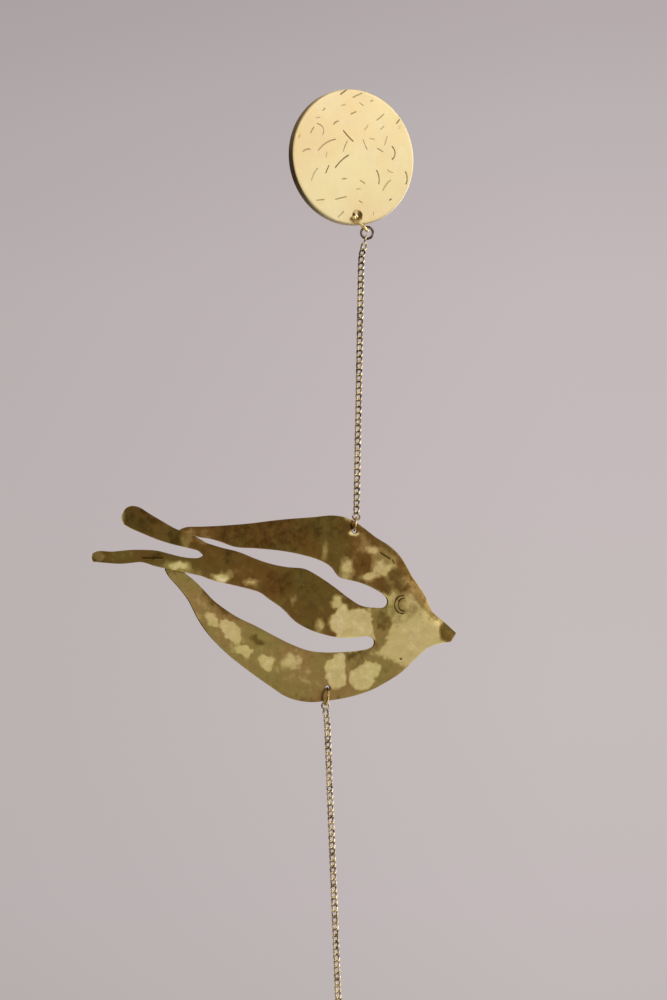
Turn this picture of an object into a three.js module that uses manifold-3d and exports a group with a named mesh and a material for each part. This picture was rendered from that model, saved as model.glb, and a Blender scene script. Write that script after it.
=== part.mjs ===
// Hanging suncatcher: a thick round brass disc, a curb chain, a bird cut from one brass sheet,
// a second curb chain and a clear faceted glass drop. Millimetres, +Z up, seen from -Y.
// The origin is the middle of the disc's back face, where the hidden fixing holds it.
import * as THREE from "three";
import { ConvexGeometry } from "three/addons/geometries/ConvexGeometry.js";
import { mergeVertices } from "three/addons/utils/BufferGeometryUtils.js";
import Module from "manifold-3d";

// Disc
const DISC_DIAMETER = 45.2;
const DISC_THICKNESS = 3.4;
const DISC_EDGE_BREAK = 0.35;
const DISC_HOLE_DIAMETER = 3.7;
const DISC_HOLE_RIM = 3.05; // from the hole's middle to the disc's edge
const DISC_HOLE_TURN = 4.1; // degrees round the disc from its lowest point

// Rings of round wire, each given by its wire and its mean diameter
const DISC_RING_WIRE = 1.16;
const DISC_RING_MEAN = 7.4;
const DISC_RING_TURN = -35; // degrees, about the vertical
const DISC_RING_TILT = 39; // degrees, out of the vertical
const DISC_RING_SIDE = 0; // how far its plane passes beside the hole's middle
const DISC_RING_BACK = 0.2; // how much further it reaches behind the disc than in front
const CHAIN_RING_WIRE = 0.87;
const CHAIN_RING_MEAN = 3.9;
const BIRD_RING_WIRE = 0.8;
const BIRD_RING_MEAN = 4.3;
const BIRD_RING_LEAN = 10; // degrees, top end towards +X
const BIRD_RING_TURN = 0; // degrees, about the vertical
const LOW_RING_WIRE = 0.8;
const LOW_RING_MEAN = 5.5;
const LOW_RING_LEAN = 7;
const LOW_RING_TURN = 12;
const CRYSTAL_RING_WIRE = 0.8;
const CRYSTAL_RING_MEAN = 7.2;

// Curb chain: twisted oval links that lie flat, with a plain wider link at each end
const LINK_WIRE = 0.6;
const LINK_WIDTH = 2.2;
const LINK_PITCH = 2.09;
const LINK_TWIST = 0.56; // how far the wire swings in front of and behind the link's plane
const UPPER_LINKS = 43;
const LOWER_LINKS = 47;
const UPPER_LEAN = -1.21; // degrees, bottom end towards -X
const LOWER_LEAN = 2.55;
const UPPER_KICK = 2.1; // sideways step in the first links, where the chain finds its line
const LOWER_KICK = -0.4;
const KICK_LENGTH = 3;

// Bird, one sheet
const BIRD_LENGTH = 131;
const SHEET = 1; // thickness
const BIRD_HOLE_DIAMETER = 1.8;
const CREASE_SLOPE = 0.1; // how steeply the tail feathers bend back
const TIP_CURL = 2.2; // how far the tail's ends curl back
const TIP_CURL_LENGTH = 6;
const WING_TUCK = 1.05; // how far the wing tips pass behind the hanging plane
const BODY_FORWARD = 0.75; // how far the body stands before it there
const BROW_BACK = 1.1; // how far the edge from the shoulder to the beak is rolled back
const BROW_WIDTH = 5;

// Crystal
const CRYSTAL_LENGTH = 38;
const CRYSTAL_WIDTH = 22;
const CRYSTAL_DEPTH = 13;
const CRYSTAL_SIDES = 10;
const CRYSTAL_HOLE_DIAMETER = 2.6;
const CRYSTAL_HOLE_DROP = 3.2; // from the crystal's top to the hole's middle

// Clearances
const WIRE_GAP = 0.2; // between a wire and what hangs on it
const SEAT_GAP = 0.4; // between a ring that goes slantwise through a hole and the hole's wall
const DISC_GAP = 0.3; // between the first ring and the wall of the disc's hole

// The way the front of the chain and of its rings is turned: degrees to the left of -Y.
const FACING = 26.6;

// The bird's edges, each from left to right, as shares of its length measured from its upper hole.
const BIRD = {
  upperWingTop: [
    [-0.492, -0.005], [-0.481, 0.004], [-0.465, 0.011], [-0.427, 0.012], [-0.373, 0.014],
    [-0.298, 0.019], [-0.203, 0.029], [-0.116, 0.035], [-0.059, 0.039], [-0.016, 0.031],
    [0.021, 0.01], [0.059, -0.016], [0.102, -0.04], [0.134, -0.067], [0.169, -0.117],
  ],
  upperWingLow: [
    [-0.487, -0.018], [-0.461, -0.004], [-0.435, -0.013], [-0.4, -0.018], [-0.367, -0.027],
    [-0.331, -0.039], [-0.274, -0.043], [-0.203, -0.05], [-0.144, -0.061], [-0.096, -0.075],
    [-0.065, -0.092], [-0.042, -0.118], [-0.016, -0.125], [0.021, -0.134], [0.064, -0.152],
    [0.088, -0.169], [0.095, -0.184],
  ],
  bodyTop: [
    [-0.416, -0.028], [-0.375, -0.04], [-0.331, -0.05], [-0.274, -0.071], [-0.229, -0.084],
    [-0.187, -0.091], [-0.144, -0.095], [-0.108, -0.112], [-0.059, -0.142], [-0.016, -0.172],
    [0.018, -0.191], [0.059, -0.197], [0.085, -0.195], [0.095, -0.184],
  ],
  bodyLow: [
    [-0.427, -0.11], [-0.4, -0.12], [-0.345, -0.133], [-0.298, -0.144], [-0.265, -0.154],
    [-0.237, -0.173], [-0.203, -0.195], [-0.167, -0.228], [-0.13, -0.248], [-0.088, -0.262],
    [-0.045, -0.271], [-0.002, -0.272], [0.035, -0.27], [0.05, -0.274], [0.057, -0.285],
  ],
  lowerWingTop: [
    [-0.491, -0.075], [-0.472, -0.099], [-0.445, -0.119], [-0.418, -0.144], [-0.391, -0.171],
    [-0.356, -0.196], [-0.324, -0.215], [-0.276, -0.237], [-0.229, -0.261], [-0.181, -0.284],
    [-0.13, -0.302], [-0.079, -0.308], [-0.031, -0.308], [0.018, -0.305], [0.044, -0.299],
    [0.057, -0.285],
  ],
  lowerWingLow: [
    [-0.521, -0.07], [-0.52, -0.092], [-0.509, -0.111], [-0.485, -0.136], [-0.457, -0.17],
    [-0.431, -0.218], [-0.404, -0.255], [-0.356, -0.302], [-0.296, -0.348], [-0.236, -0.389],
    [-0.187, -0.419], [-0.13, -0.432], [-0.074, -0.43], [-0.011, -0.422], [0.047, -0.407],
    [0.093, -0.387],
  ],
  headTop: [[0.169, -0.117], [0.208, -0.169], [0.228, -0.209], [0.262, -0.236], [0.299, -0.267]],
  headLow: [
    [0.093, -0.387], [0.134, -0.364], [0.172, -0.333], [0.208, -0.305], [0.24, -0.294],
    [0.279, -0.289],
  ],
  upperFeatherTop: [
    [-0.621, 0.055], [-0.613, 0.063], [-0.592, 0.062], [-0.563, 0.045], [-0.527, 0.024],
    [-0.494, 0.006], [-0.461, -0.004], [-0.416, -0.028],
  ],
  upperFeatherLow: [
    [-0.623, 0.018], [-0.606, 0.007], [-0.58, -0.004], [-0.546, -0.018], [-0.501, -0.032],
    [-0.457, -0.042], [-0.433, -0.049], [-0.422, -0.059],
  ],
  upperFeatherEnd: [[-0.621, 0.055], [-0.628, 0.036], [-0.623, 0.018]],
  lowerFeatherTop: [
    [-0.704, -0.052], [-0.693, -0.046], [-0.663, -0.048], [-0.617, -0.044], [-0.579, -0.044],
    [-0.548, -0.046], [-0.515, -0.054], [-0.476, -0.063], [-0.433, -0.065], [-0.422, -0.059],
  ],
  lowerFeatherLow: [
    [-0.703, -0.073], [-0.68, -0.075], [-0.642, -0.078], [-0.612, -0.076], [-0.586, -0.074],
    [-0.553, -0.084], [-0.515, -0.092], [-0.471, -0.101], [-0.427, -0.11],
  ],
  lowerFeatherEnd: [[-0.704, -0.052], [-0.706, -0.063], [-0.703, -0.073]],
  lowHole: [-0.077, -0.398],
  // Left of these places the two tail feathers bend back.
  upperCrease: -0.478,
  lowerCrease: -0.56,
};

// How the bird's depth runs along its panels, as shares of each panel's length
const WING_RISE = 0.6; // where a wing, come from behind, reaches the hanging plane
const BODY_RISE = 0.7; // where the body, come from before it, reaches it
const FEATHER_RISE = 0.9; // where the feathers' own rise ends, at the body
const BROW_START = 0.6; // where the rolled edge begins on the upper wing

// Steps of the faceted surfaces
const DISC_SIDES = 64;
const HOLE_SIDES = 20;
const RING_STEPS = 18;
const RING_SIDES = 6;
const LINK_STEPS = 6;
const END_LINK_STEPS = 8;
const WIRE_SIDES = 4;
const WING_STEPS = 16;
const WING_ROWS = 3;
const BODY_STEPS = 14;
const BODY_ROWS = 2; // above the fork of the tail, and as many below it
const FEATHER_STEPS = 7;
const HEAD_STEPS = 8;
const HEAD_CROWD = 1.5; // how much closer the steps lie towards the round ends of the cuts
const BODY_CROWD = 1.2; // the same for the feathers, towards the fork

const wasm = await Module();
wasm.setup();

const radians = THREE.MathUtils.degToRad;
const UP = new THREE.Vector3(0, 0, 1);
const facing = radians(FACING);
const ACROSS = new THREE.Vector3(Math.cos(facing), -Math.sin(facing), 0);
const TOWARDS = new THREE.Vector3(-Math.sin(facing), -Math.cos(facing), 0);
const SIDEWAYS = new THREE.Vector3(1, 0, 0);
const SAME_PLACE = 1e-4;

// A closed geometry as a solid that can be cut and joined.
function solidOf(geometry) {
  const bare = geometry.clone();
  bare.deleteAttribute("normal");
  bare.deleteAttribute("uv");
  const merged = mergeVertices(bare, SAME_PLACE);
  return new wasm.Manifold(
    new wasm.Mesh({
      numProp: 3,
      vertProperties: new Float32Array(merged.attributes.position.array),
      triVerts: new Uint32Array(merged.index.array),
    }),
  );
}

function geometryOf(solid) {
  const mesh = solid.getMesh();
  const geometry = new THREE.BufferGeometry();
  const positions = new Float32Array(mesh.vertProperties);
  geometry.setAttribute("position", new THREE.BufferAttribute(positions, 3));
  geometry.setIndex(new THREE.BufferAttribute(new Uint32Array(mesh.triVerts), 1));
  const flat = geometry.toNonIndexed();
  flat.computeVertexNormals();
  return flat;
}

// A straight round cutter along Y.
function drill(x, z, diameter, from, to) {
  const cutter = new THREE.CylinderGeometry(diameter / 2, diameter / 2, to - from, HOLE_SIDES);
  cutter.translate(x, (from + to) / 2, z);
  return solidOf(cutter);
}

function brass(color, roughness) {
  return new THREE.MeshStandardMaterial({ color, roughness, metalness: 1 });
}

const group = new THREE.Group();

function addPiece(name, geometry, material) {
  const mesh = new THREE.Mesh(geometry, material);
  mesh.name = name;
  group.add(mesh);
}

// Disc: a coin turned on the Y axis with its sharp edges broken, drilled near its rim.
const discRadius = DISC_DIAMETER / 2;
const holeReach = discRadius - DISC_HOLE_RIM;
const discHole = new THREE.Vector3(
  holeReach * Math.sin(radians(DISC_HOLE_TURN)),
  -DISC_THICKNESS / 2,
  -holeReach * Math.cos(radians(DISC_HOLE_TURN)),
);

function makeDisc() {
  const profile = [
    [0, 0],
    [discRadius - DISC_EDGE_BREAK, 0],
    [discRadius, DISC_EDGE_BREAK],
    [discRadius, DISC_THICKNESS - DISC_EDGE_BREAK],
    [discRadius - DISC_EDGE_BREAK, DISC_THICKNESS],
    [0, DISC_THICKNESS],
  ].map(([r, y]) => new THREE.Vector2(r, y - DISC_THICKNESS));
  const blank = new THREE.LatheGeometry(profile, DISC_SIDES);
  const reach = 2 * DISC_THICKNESS;
  const cutter = drill(discHole.x, discHole.z, DISC_HOLE_DIAMETER, -reach, reach);
  return geometryOf(solidOf(blank).subtract(cutter));
}

// Rings: tori, placed by their middle and the direction that they face.
function makeRing(ring) {
  const torus = new THREE.TorusGeometry(ring.mean / 2, ring.wire / 2, RING_SIDES, RING_STEPS);
  const turn = new THREE.Quaternion().setFromUnitVectors(UP, ring.normal);
  torus.applyQuaternion(turn);
  torus.translate(ring.middle.x, ring.middle.y, ring.middle.z);
  return torus;
}

// The direction, in the ring's own plane, that points most steeply down.
function downIn(normal) {
  const down = UP.clone().multiplyScalar(-1);
  return down.addScaledVector(normal, -down.dot(normal)).normalize();
}

function lowestOf(ring) {
  return ring.middle.clone().addScaledVector(downIn(ring.normal), ring.mean / 2);
}

// The first ring goes slantwise through the disc's hole and round its rim.
function placeDiscRing() {
  const turn = radians(DISC_RING_TURN);
  const tilt = radians(DISC_RING_TILT);
  const normal = new THREE.Vector3(
    Math.cos(tilt) * Math.cos(turn),
    Math.cos(tilt) * Math.sin(turn),
    Math.sin(tilt),
  );
  const outwards = new THREE.Vector3(normal.z, 0, -normal.x).normalize();
  const backwards = normal.clone().cross(outwards);
  const crossing = DISC_HOLE_DIAMETER / 2 - DISC_RING_WIRE / 2 - DISC_GAP;
  const middle = discHole
    .clone()
    .addScaledVector(outwards, DISC_RING_MEAN / 2 - crossing)
    .addScaledVector(backwards, DISC_RING_BACK)
    .addScaledVector(normal, DISC_RING_SIDE);
  return { middle, normal, mean: DISC_RING_MEAN, wire: DISC_RING_WIRE };
}

// A ring that hangs on the lowest point of another and faces the viewer.
function hangRing(above, mean, wire, normal) {
  const top = lowestOf(above);
  top.z += above.wire / 2 + WIRE_GAP + wire / 2;
  const middle = top.addScaledVector(UP, -mean / 2);
  return { middle, normal, mean, wire };
}

// A ring seen nearly on edge, given by the direction from its lowest point to its highest.
function edgeOnNormal(lean, turn) {
  const rise = new THREE.Vector3(Math.sin(radians(lean)), 0, Math.cos(radians(lean)));
  const away = TOWARDS.clone().applyAxisAngle(UP, radians(turn));
  return { rise, normal: rise.clone().cross(away).normalize() };
}

// Chain links: a loop of points round the Z axis, of half width and half length in X and Z.
const SQUARE_FLAT = Math.sqrt(Math.PI) / 2; // a square wire as heavy as a round one: flat to middle
const CONTACT = 0.1; // how deep two links of one chain sink into each other where they touch

function linkLoop(halfWidth, halfLength, twist, steps) {
  const angles = Array.from({ length: steps }, (_, i) => ((i + 0.5) * 2 * Math.PI) / steps);
  const widest = Math.max(...angles.map(Math.sin));
  const longest = Math.max(...angles.map(Math.cos));
  return angles.map(
    (angle) =>
      new THREE.Vector3(
        (halfWidth * Math.sin(angle)) / widest,
        twist * Math.sin(2 * angle),
        (halfLength * Math.cos(angle)) / longest,
      ),
  );
}

// A square wire swept round a closed loop of points.
function wireLoop(points, radius) {
  const count = points.length;
  const corner = radius * SQUARE_FLAT * Math.SQRT2;
  const positions = [];
  for (let i = 0; i < count; i++) {
    const along = points[(i + 1) % count].clone().sub(points[(i + count - 1) % count]).normalize();
    const outwards = points[i].clone().addScaledVector(along, -points[i].dot(along)).normalize();
    const aside = along.clone().cross(outwards);
    for (let k = 0; k < WIRE_SIDES; k++) {
      const angle = ((k + 0.5) * 2 * Math.PI) / WIRE_SIDES;
      const point = points[i]
        .clone()
        .addScaledVector(outwards, corner * Math.cos(angle))
        .addScaledVector(aside, corner * Math.sin(angle));
      positions.push(point.x, point.y, point.z);
    }
  }
  const index = [];
  for (let i = 0; i < count; i++) {
    for (let k = 0; k < WIRE_SIDES; k++) {
      const a = i * WIRE_SIDES + k;
      const b = i * WIRE_SIDES + ((k + 1) % WIRE_SIDES);
      const c = ((i + 1) % count) * WIRE_SIDES + ((k + 1) % WIRE_SIDES);
      const d = ((i + 1) % count) * WIRE_SIDES + k;
      index.push(a, b, c, a, c, d);
    }
  }
  const geometry = new THREE.BufferGeometry();
  geometry.setAttribute("position", new THREE.Float32BufferAttribute(positions, 3));
  geometry.setIndex(index);
  const solid = solidOf(geometry);
  if (solid.volume() > 0) return solid;
  geometry.setIndex(index.reverse());
  return solidOf(geometry);
}

const touchDistance = LINK_WIRE * SQUARE_FLAT - CONTACT;
const curbHalfLength = (LINK_PITCH + touchDistance) / 2;
const curbHalfWidth = (LINK_WIDTH - LINK_WIRE) / 2;

// A chain that starts in one ring and hangs along a nearly straight line.
// Returns its solid and the point where its last link holds the next ring.
function makeChain({ top, topWire, bottomWire, count, lean, kick, firstSide, lastSide }) {
  const line = (s) =>
    new THREE.Vector3(
      top.x + s * Math.sin(radians(lean)) - kick * (1 - Math.exp(-((s / KICK_LENGTH) ** 2))),
      top.y,
      top.z - s * Math.cos(radians(lean)),
    );
  const links = [];
  const addLink = (loop, s, side) => {
    const down = line(s + LINK_WIRE).sub(line(s - LINK_WIRE)).normalize();
    const across = side.clone().addScaledVector(down, -side.dot(down)).normalize();
    const rise = down.clone().multiplyScalar(-1);
    const frame = new THREE.Matrix4().makeBasis(across, rise.clone().cross(across), rise);
    frame.setPosition(line(s));
    links.push(wireLoop(loop, LINK_WIRE / 2).transform([...frame.elements]));
  };
  const hook = (wire) => wire / 2 + WIRE_GAP + LINK_WIRE / 2;
  const endLink = (wire) => {
    const halfLength = hook(wire) + WIRE_GAP + LINK_WIRE / 2;
    return { halfLength, loop: linkLoop(hook(wire) + WIRE_GAP, halfLength, 0, END_LINK_STEPS) };
  };
  const topLink = endLink(topWire);
  const bottomLink = endLink(bottomWire);
  let s = topLink.halfLength - hook(topWire);
  addLink(topLink.loop, s, firstSide);
  s += topLink.halfLength - touchDistance + curbHalfLength;
  for (let i = 0; i < count; i++) {
    addLink(linkLoop(curbHalfWidth, curbHalfLength, LINK_TWIST, LINK_STEPS), s, ACROSS);
    s += i < count - 1 ? LINK_PITCH : curbHalfLength - touchDistance + bottomLink.halfLength;
  }
  addLink(bottomLink.loop, s, lastSide);
  const end = line(s + bottomLink.halfLength - hook(bottomWire));
  return { solid: wasm.Manifold.union(links), end };
}

// Bird: panels between smooth edges, joined side by side into one sheet.
const smooth = (t) => {
  const c = Math.min(1, Math.max(0, t));
  return c * c * (3 - 2 * c);
};

// Points along a smooth edge, closer together towards its right end the larger crowd is.
function sampled(points, count, crowd = 1) {
  const curve = new THREE.CatmullRomCurve3(points.map(([u, v]) => new THREE.Vector3(u, 0, v)));
  return Array.from({ length: count + 1 }, (_, i) => {
    const point = curve.getPointAt(1 - (1 - i / count) ** crowd);
    return [point.x, point.z];
  });
}

const mix = (a, b, t) => [a[0] + (b[0] - a[0]) * t, a[1] + (b[1] - a[1]) * t];

// Fills a panel from its four sides; the sides run left to right and top to bottom.
function fillPanel(top, low, left, right) {
  const rows = [];
  const n = top.length - 1;
  const m = left.length - 1;
  for (let i = 0; i <= n; i++) {
    const row = [];
    for (let j = 0; j <= m; j++) {
      const s = i / n;
      const t = j / m;
      const point = [0, 1].map(
        (k) =>
          (1 - t) * top[i][k] + t * low[i][k] + (1 - s) * left[j][k] + s * right[j][k] -
          (1 - s) * ((1 - t) * top[0][k] + t * low[0][k]) -
          s * ((1 - t) * top[n][k] + t * low[n][k]),
      );
      row.push(point);
    }
    rows.push(row);
  }
  return rows;
}

const firstOf = (list) => list[0];
const lastOf = (list) => list[list.length - 1];

function straight(a, b, count) {
  return Array.from({ length: count + 1 }, (_, i) => mix(a, b, i / count));
}

function birdPanels() {
  const slitEndUp = lastOf(BIRD.upperWingLow);
  const slitEndLow = lastOf(BIRD.bodyLow);
  const fork = lastOf(BIRD.upperFeatherLow);
  const headRows = 2 * WING_ROWS + 2 * BODY_ROWS;
  const upperTip = straight(firstOf(BIRD.upperWingTop), firstOf(BIRD.upperWingLow), WING_ROWS);
  const lowerTip = straight(firstOf(BIRD.lowerWingTop), firstOf(BIRD.lowerWingLow), WING_ROWS);
  const shoulder = straight(lastOf(BIRD.upperWingTop), slitEndUp, WING_ROWS);
  const neck = straight(slitEndUp, slitEndLow, 2 * BODY_ROWS);
  const chest = straight(slitEndLow, lastOf(BIRD.lowerWingLow), WING_ROWS);
  const rumpUp = straight(firstOf(BIRD.bodyTop), fork, BODY_ROWS);
  const rumpLow = straight(fork, firstOf(BIRD.bodyLow), BODY_ROWS);
  const beak = straight(lastOf(BIRD.headTop), lastOf(BIRD.headLow), headRows);
  const upperEnd = sampled(BIRD.upperFeatherEnd, BODY_ROWS);
  const lowerEnd = sampled(BIRD.lowerFeatherEnd, BODY_ROWS);
  const panel = (kind, steps, crowd, left, right) => {
    const top = sampled(BIRD[kind + "Top"], steps, crowd);
    const low = sampled(BIRD[kind + "Low"], steps, crowd);
    return { kind, rows: fillPanel(top, low, left, right) };
  };
  return [
    panel("upperWing", WING_STEPS, HEAD_CROWD, upperTip, shoulder),
    panel("body", BODY_STEPS, HEAD_CROWD, [...rumpUp, ...rumpLow.slice(1)], neck),
    panel("lowerWing", WING_STEPS, HEAD_CROWD, lowerTip, chest),
    panel("head", HEAD_STEPS, 1, [...shoulder, ...neck.slice(1), ...chest.slice(1)], beak),
    panel("upperFeather", FEATHER_STEPS, BODY_CROWD, upperEnd, rumpUp),
    panel("lowerFeather", FEATHER_STEPS, BODY_CROWD, lowerEnd, rumpLow),
  ];
}

// How far the sheet stands behind the hanging plane: s is the share of the panel's length,
// u the place along the bird and fromTop the distance from the panel's upper edge.
function sheetDepth(kind, s, u, fromTop) {
  const rolled = BROW_BACK * Math.max(0, 1 - fromTop / BROW_WIDTH) ** 2;
  const tucked = WING_TUCK * smooth(1 - s / WING_RISE);
  if (kind === "upperWing") return tucked + rolled * smooth((s - BROW_START) / (1 - BROW_START));
  if (kind === "lowerWing") return tucked;
  if (kind === "body") return -BODY_FORWARD * smooth(1 - s / BODY_RISE);
  if (kind === "head") return rolled;
  const crease = kind === "upperFeather" ? BIRD.upperCrease : BIRD.lowerCrease;
  const bent = Math.max(0, crease - u) * BIRD_LENGTH * CREASE_SLOPE;
  const fromEnd = (u - BIRD[kind + "End"][1][0]) * BIRD_LENGTH;
  const curl = TIP_CURL * Math.max(0, 1 - fromEnd / TIP_CURL_LENGTH) ** 2;
  return bent + curl - BODY_FORWARD * smooth(s / FEATHER_RISE);
}

function makeBird(hang) {
  const places = [];
  const found = new Map();
  const placeOf = (u, v, depth) => {
    const key = u.toFixed(5) + "," + v.toFixed(5);
    if (!found.has(key)) {
      found.set(key, places.length);
      places.push([hang.x + u * BIRD_LENGTH, hang.y + depth, hang.z + v * BIRD_LENGTH]);
    }
    return found.get(key);
  };
  const cells = [];
  for (const { kind, rows } of birdPanels()) {
    const numbers = rows.map((row, i) =>
      row.map(([u, v]) => {
        const fromTop = Math.hypot(u - row[0][0], v - row[0][1]) * BIRD_LENGTH;
        return placeOf(u, v, sheetDepth(kind, i / (rows.length - 1), u, fromTop));
      }),
    );
    for (let i = 0; i < numbers.length - 1; i++) {
      for (let j = 0; j < numbers[i].length - 1; j++) {
        cells.push([numbers[i][j], numbers[i + 1][j], numbers[i + 1][j + 1], numbers[i][j + 1]]);
      }
    }
  }
  return solidOf(sheetGeometry(places, cells));
}

// A sheet with a front, a back and a wall wherever a cell's side has no neighbour.
function sheetGeometry(places, cells) {
  const count = places.length;
  const positions = [];
  for (const half of [-SHEET / 2, SHEET / 2]) {
    for (const [x, y, z] of places) positions.push(x, y + half, z);
  }
  const sides = new Map();
  const index = [];
  for (const [a, b, c, d] of cells) {
    index.push(a, c, b, a, d, c);
    index.push(count + a, count + b, count + c, count + a, count + c, count + d);
    for (const [p, q] of [[a, b], [b, c], [c, d], [d, a]]) {
      const back = q + "," + p;
      if (sides.has(back)) sides.delete(back);
      else sides.set(p + "," + q, [p, q]);
    }
  }
  for (const [p, q] of sides.values()) {
    index.push(p, q, count + q, p, count + q, count + p);
  }
  const geometry = new THREE.BufferGeometry();
  geometry.setAttribute("position", new THREE.Float32BufferAttribute(positions, 3));
  geometry.setIndex(index);
  return geometry;
}

// Crystal: rows of corners, each turned half a facet against the next, and the facets between them.
function makeCrystal(hole) {
  const top = hole.z + CRYSTAL_HOLE_DROP;
  const rows = [
    [0, 0.16], [0.1, 0.27], [0.3, 0.62], [0.5, 0.92], [0.66, 1], [0.82, 0.72], [0.95, 0.22],
  ];
  const corners = [];
  rows.forEach(([drop, width], k) => {
    for (let i = 0; i < CRYSTAL_SIDES; i++) {
      const angle = ((i + (k % 2) / 2) * 2 * Math.PI) / CRYSTAL_SIDES;
      corners.push(
        new THREE.Vector3(
          hole.x + (Math.cos(angle) * width * CRYSTAL_WIDTH) / 2,
          hole.y + (Math.sin(angle) * width * CRYSTAL_DEPTH) / 2,
          top - drop * CRYSTAL_LENGTH,
        ),
      );
    }
  });
  corners.push(new THREE.Vector3(hole.x, hole.y, top - CRYSTAL_LENGTH));
  const { x, y, z } = hole;
  const cutter = drill(x, z, CRYSTAL_HOLE_DIAMETER, y - CRYSTAL_DEPTH, y + CRYSTAL_DEPTH);
  return solidOf(new ConvexGeometry(corners)).subtract(cutter);
}

// Where each thing hangs, from the disc down.
const discRing = placeDiscRing();
const chainRing = hangRing(discRing, CHAIN_RING_MEAN, CHAIN_RING_WIRE, TOWARDS);
const upper = makeChain({
  top: lowestOf(chainRing),
  topWire: CHAIN_RING_WIRE,
  bottomWire: BIRD_RING_WIRE,
  count: UPPER_LINKS,
  lean: UPPER_LEAN,
  kick: UPPER_KICK,
  firstSide: TOWARDS,
  lastSide: ACROSS,
});

const birdHang = edgeOnNormal(BIRD_RING_LEAN, BIRD_RING_TURN);
const birdRing = {
  middle: upper.end.clone().addScaledVector(birdHang.rise, -BIRD_RING_MEAN / 2),
  normal: birdHang.normal,
  mean: BIRD_RING_MEAN,
  wire: BIRD_RING_WIRE,
};
const birdSeat = (BIRD_HOLE_DIAMETER - BIRD_RING_WIRE) / 2 - SEAT_GAP;
const birdHole = birdRing.middle
  .clone()
  .addScaledVector(birdHang.rise, -BIRD_RING_MEAN / 2)
  .addScaledVector(UP, -birdSeat);

const lowHole = new THREE.Vector3(
  birdHole.x + BIRD.lowHole[0] * BIRD_LENGTH,
  birdHole.y,
  birdHole.z + BIRD.lowHole[1] * BIRD_LENGTH,
);
const lowHang = edgeOnNormal(LOW_RING_LEAN, LOW_RING_TURN);
const lowSeat = (BIRD_HOLE_DIAMETER - LOW_RING_WIRE) / 2 - SEAT_GAP;
const lowRing = {
  middle: lowHole
    .clone()
    .addScaledVector(UP, -lowSeat)
    .addScaledVector(lowHang.rise, -LOW_RING_MEAN / 2),
  normal: lowHang.normal,
  mean: LOW_RING_MEAN,
  wire: LOW_RING_WIRE,
};
const lower = makeChain({
  top: lowestOf(lowRing),
  topWire: LOW_RING_WIRE,
  bottomWire: CRYSTAL_RING_WIRE,
  count: LOWER_LINKS,
  lean: LOWER_LEAN,
  kick: LOWER_KICK,
  firstSide: ACROSS,
  lastSide: SIDEWAYS,
});

const crystalRing = {
  middle: lower.end.clone().addScaledVector(UP, -CRYSTAL_RING_MEAN / 2),
  normal: SIDEWAYS,
  mean: CRYSTAL_RING_MEAN,
  wire: CRYSTAL_RING_WIRE,
};
const crystalHole = lowestOf(crystalRing);

const punch = 5 * SHEET;
const bird = [birdHole, lowHole].reduce(
  (sheet, { x, y, z }) => sheet.subtract(drill(x, z, BIRD_HOLE_DIAMETER, y - punch, y + punch)),
  makeBird(birdHole),
);

const wireBrass = brass(0x8a6b3a, 0.3);
const clearGlass = new THREE.MeshStandardMaterial({
  color: 0xe8f0f2,
  roughness: 0.02,
  metalness: 0,
  transparent: true,
  opacity: 0.35,
});
addPiece("disc", makeDisc(), brass(0xe6cf95, 0.38));
addPiece("disc_ring", makeRing(discRing), wireBrass);
addPiece("chain_top_ring", makeRing(chainRing), wireBrass);
addPiece("upper_chain", geometryOf(upper.solid), wireBrass);
addPiece("bird_top_ring", makeRing(birdRing), wireBrass);
addPiece("bird", geometryOf(bird), brass(0x8f7a44, 0.32));
addPiece("bird_bottom_ring", makeRing(lowRing), wireBrass);
addPiece("lower_chain", geometryOf(lower.solid), wireBrass);
addPiece("crystal_ring", makeRing(crystalRing), wireBrass);
addPiece("crystal", geometryOf(makeCrystal(crystalHole)), clearGlass);

export default group;
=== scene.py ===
# %% [markdown]
# A brass bird with a glass drop
# A thick satin disc carries a fine curb chain. The chain carries a bird sawn out of one brass sheet,
# a second chain hangs below the bird, and a clear faceted drop ends it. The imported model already
# holds every piece at its place and size. This script gives each piece its real surface.

import math
import random

import bmesh
import bpy
import numpy as np
from mathutils import Matrix, Vector, noise


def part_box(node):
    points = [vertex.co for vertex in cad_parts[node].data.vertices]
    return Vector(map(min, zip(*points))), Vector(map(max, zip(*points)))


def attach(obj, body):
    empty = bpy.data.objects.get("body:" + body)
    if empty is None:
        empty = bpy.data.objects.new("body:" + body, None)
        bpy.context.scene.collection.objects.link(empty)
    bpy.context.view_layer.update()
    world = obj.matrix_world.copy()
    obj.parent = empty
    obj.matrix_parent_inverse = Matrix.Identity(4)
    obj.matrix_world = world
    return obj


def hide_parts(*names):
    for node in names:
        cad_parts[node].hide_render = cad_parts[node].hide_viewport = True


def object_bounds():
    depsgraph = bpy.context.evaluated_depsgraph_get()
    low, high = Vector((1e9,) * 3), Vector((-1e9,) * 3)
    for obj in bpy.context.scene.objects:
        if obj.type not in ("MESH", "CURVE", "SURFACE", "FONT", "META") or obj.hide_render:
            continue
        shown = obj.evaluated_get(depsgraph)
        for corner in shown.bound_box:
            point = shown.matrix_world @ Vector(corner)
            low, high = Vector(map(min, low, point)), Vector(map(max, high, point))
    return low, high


MM = 0.001
BODY = "root"

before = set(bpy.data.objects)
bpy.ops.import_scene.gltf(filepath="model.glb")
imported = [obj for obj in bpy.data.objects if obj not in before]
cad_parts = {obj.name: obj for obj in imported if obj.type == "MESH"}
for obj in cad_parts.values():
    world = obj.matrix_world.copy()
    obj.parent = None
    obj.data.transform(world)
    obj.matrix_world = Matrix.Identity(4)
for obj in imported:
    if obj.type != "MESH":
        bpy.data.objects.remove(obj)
cad_low, cad_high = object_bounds()
print("nodes:", ", ".join(sorted(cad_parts)))
print("height in mm:", round((cad_high.z - cad_low.z) / MM, 1))

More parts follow.
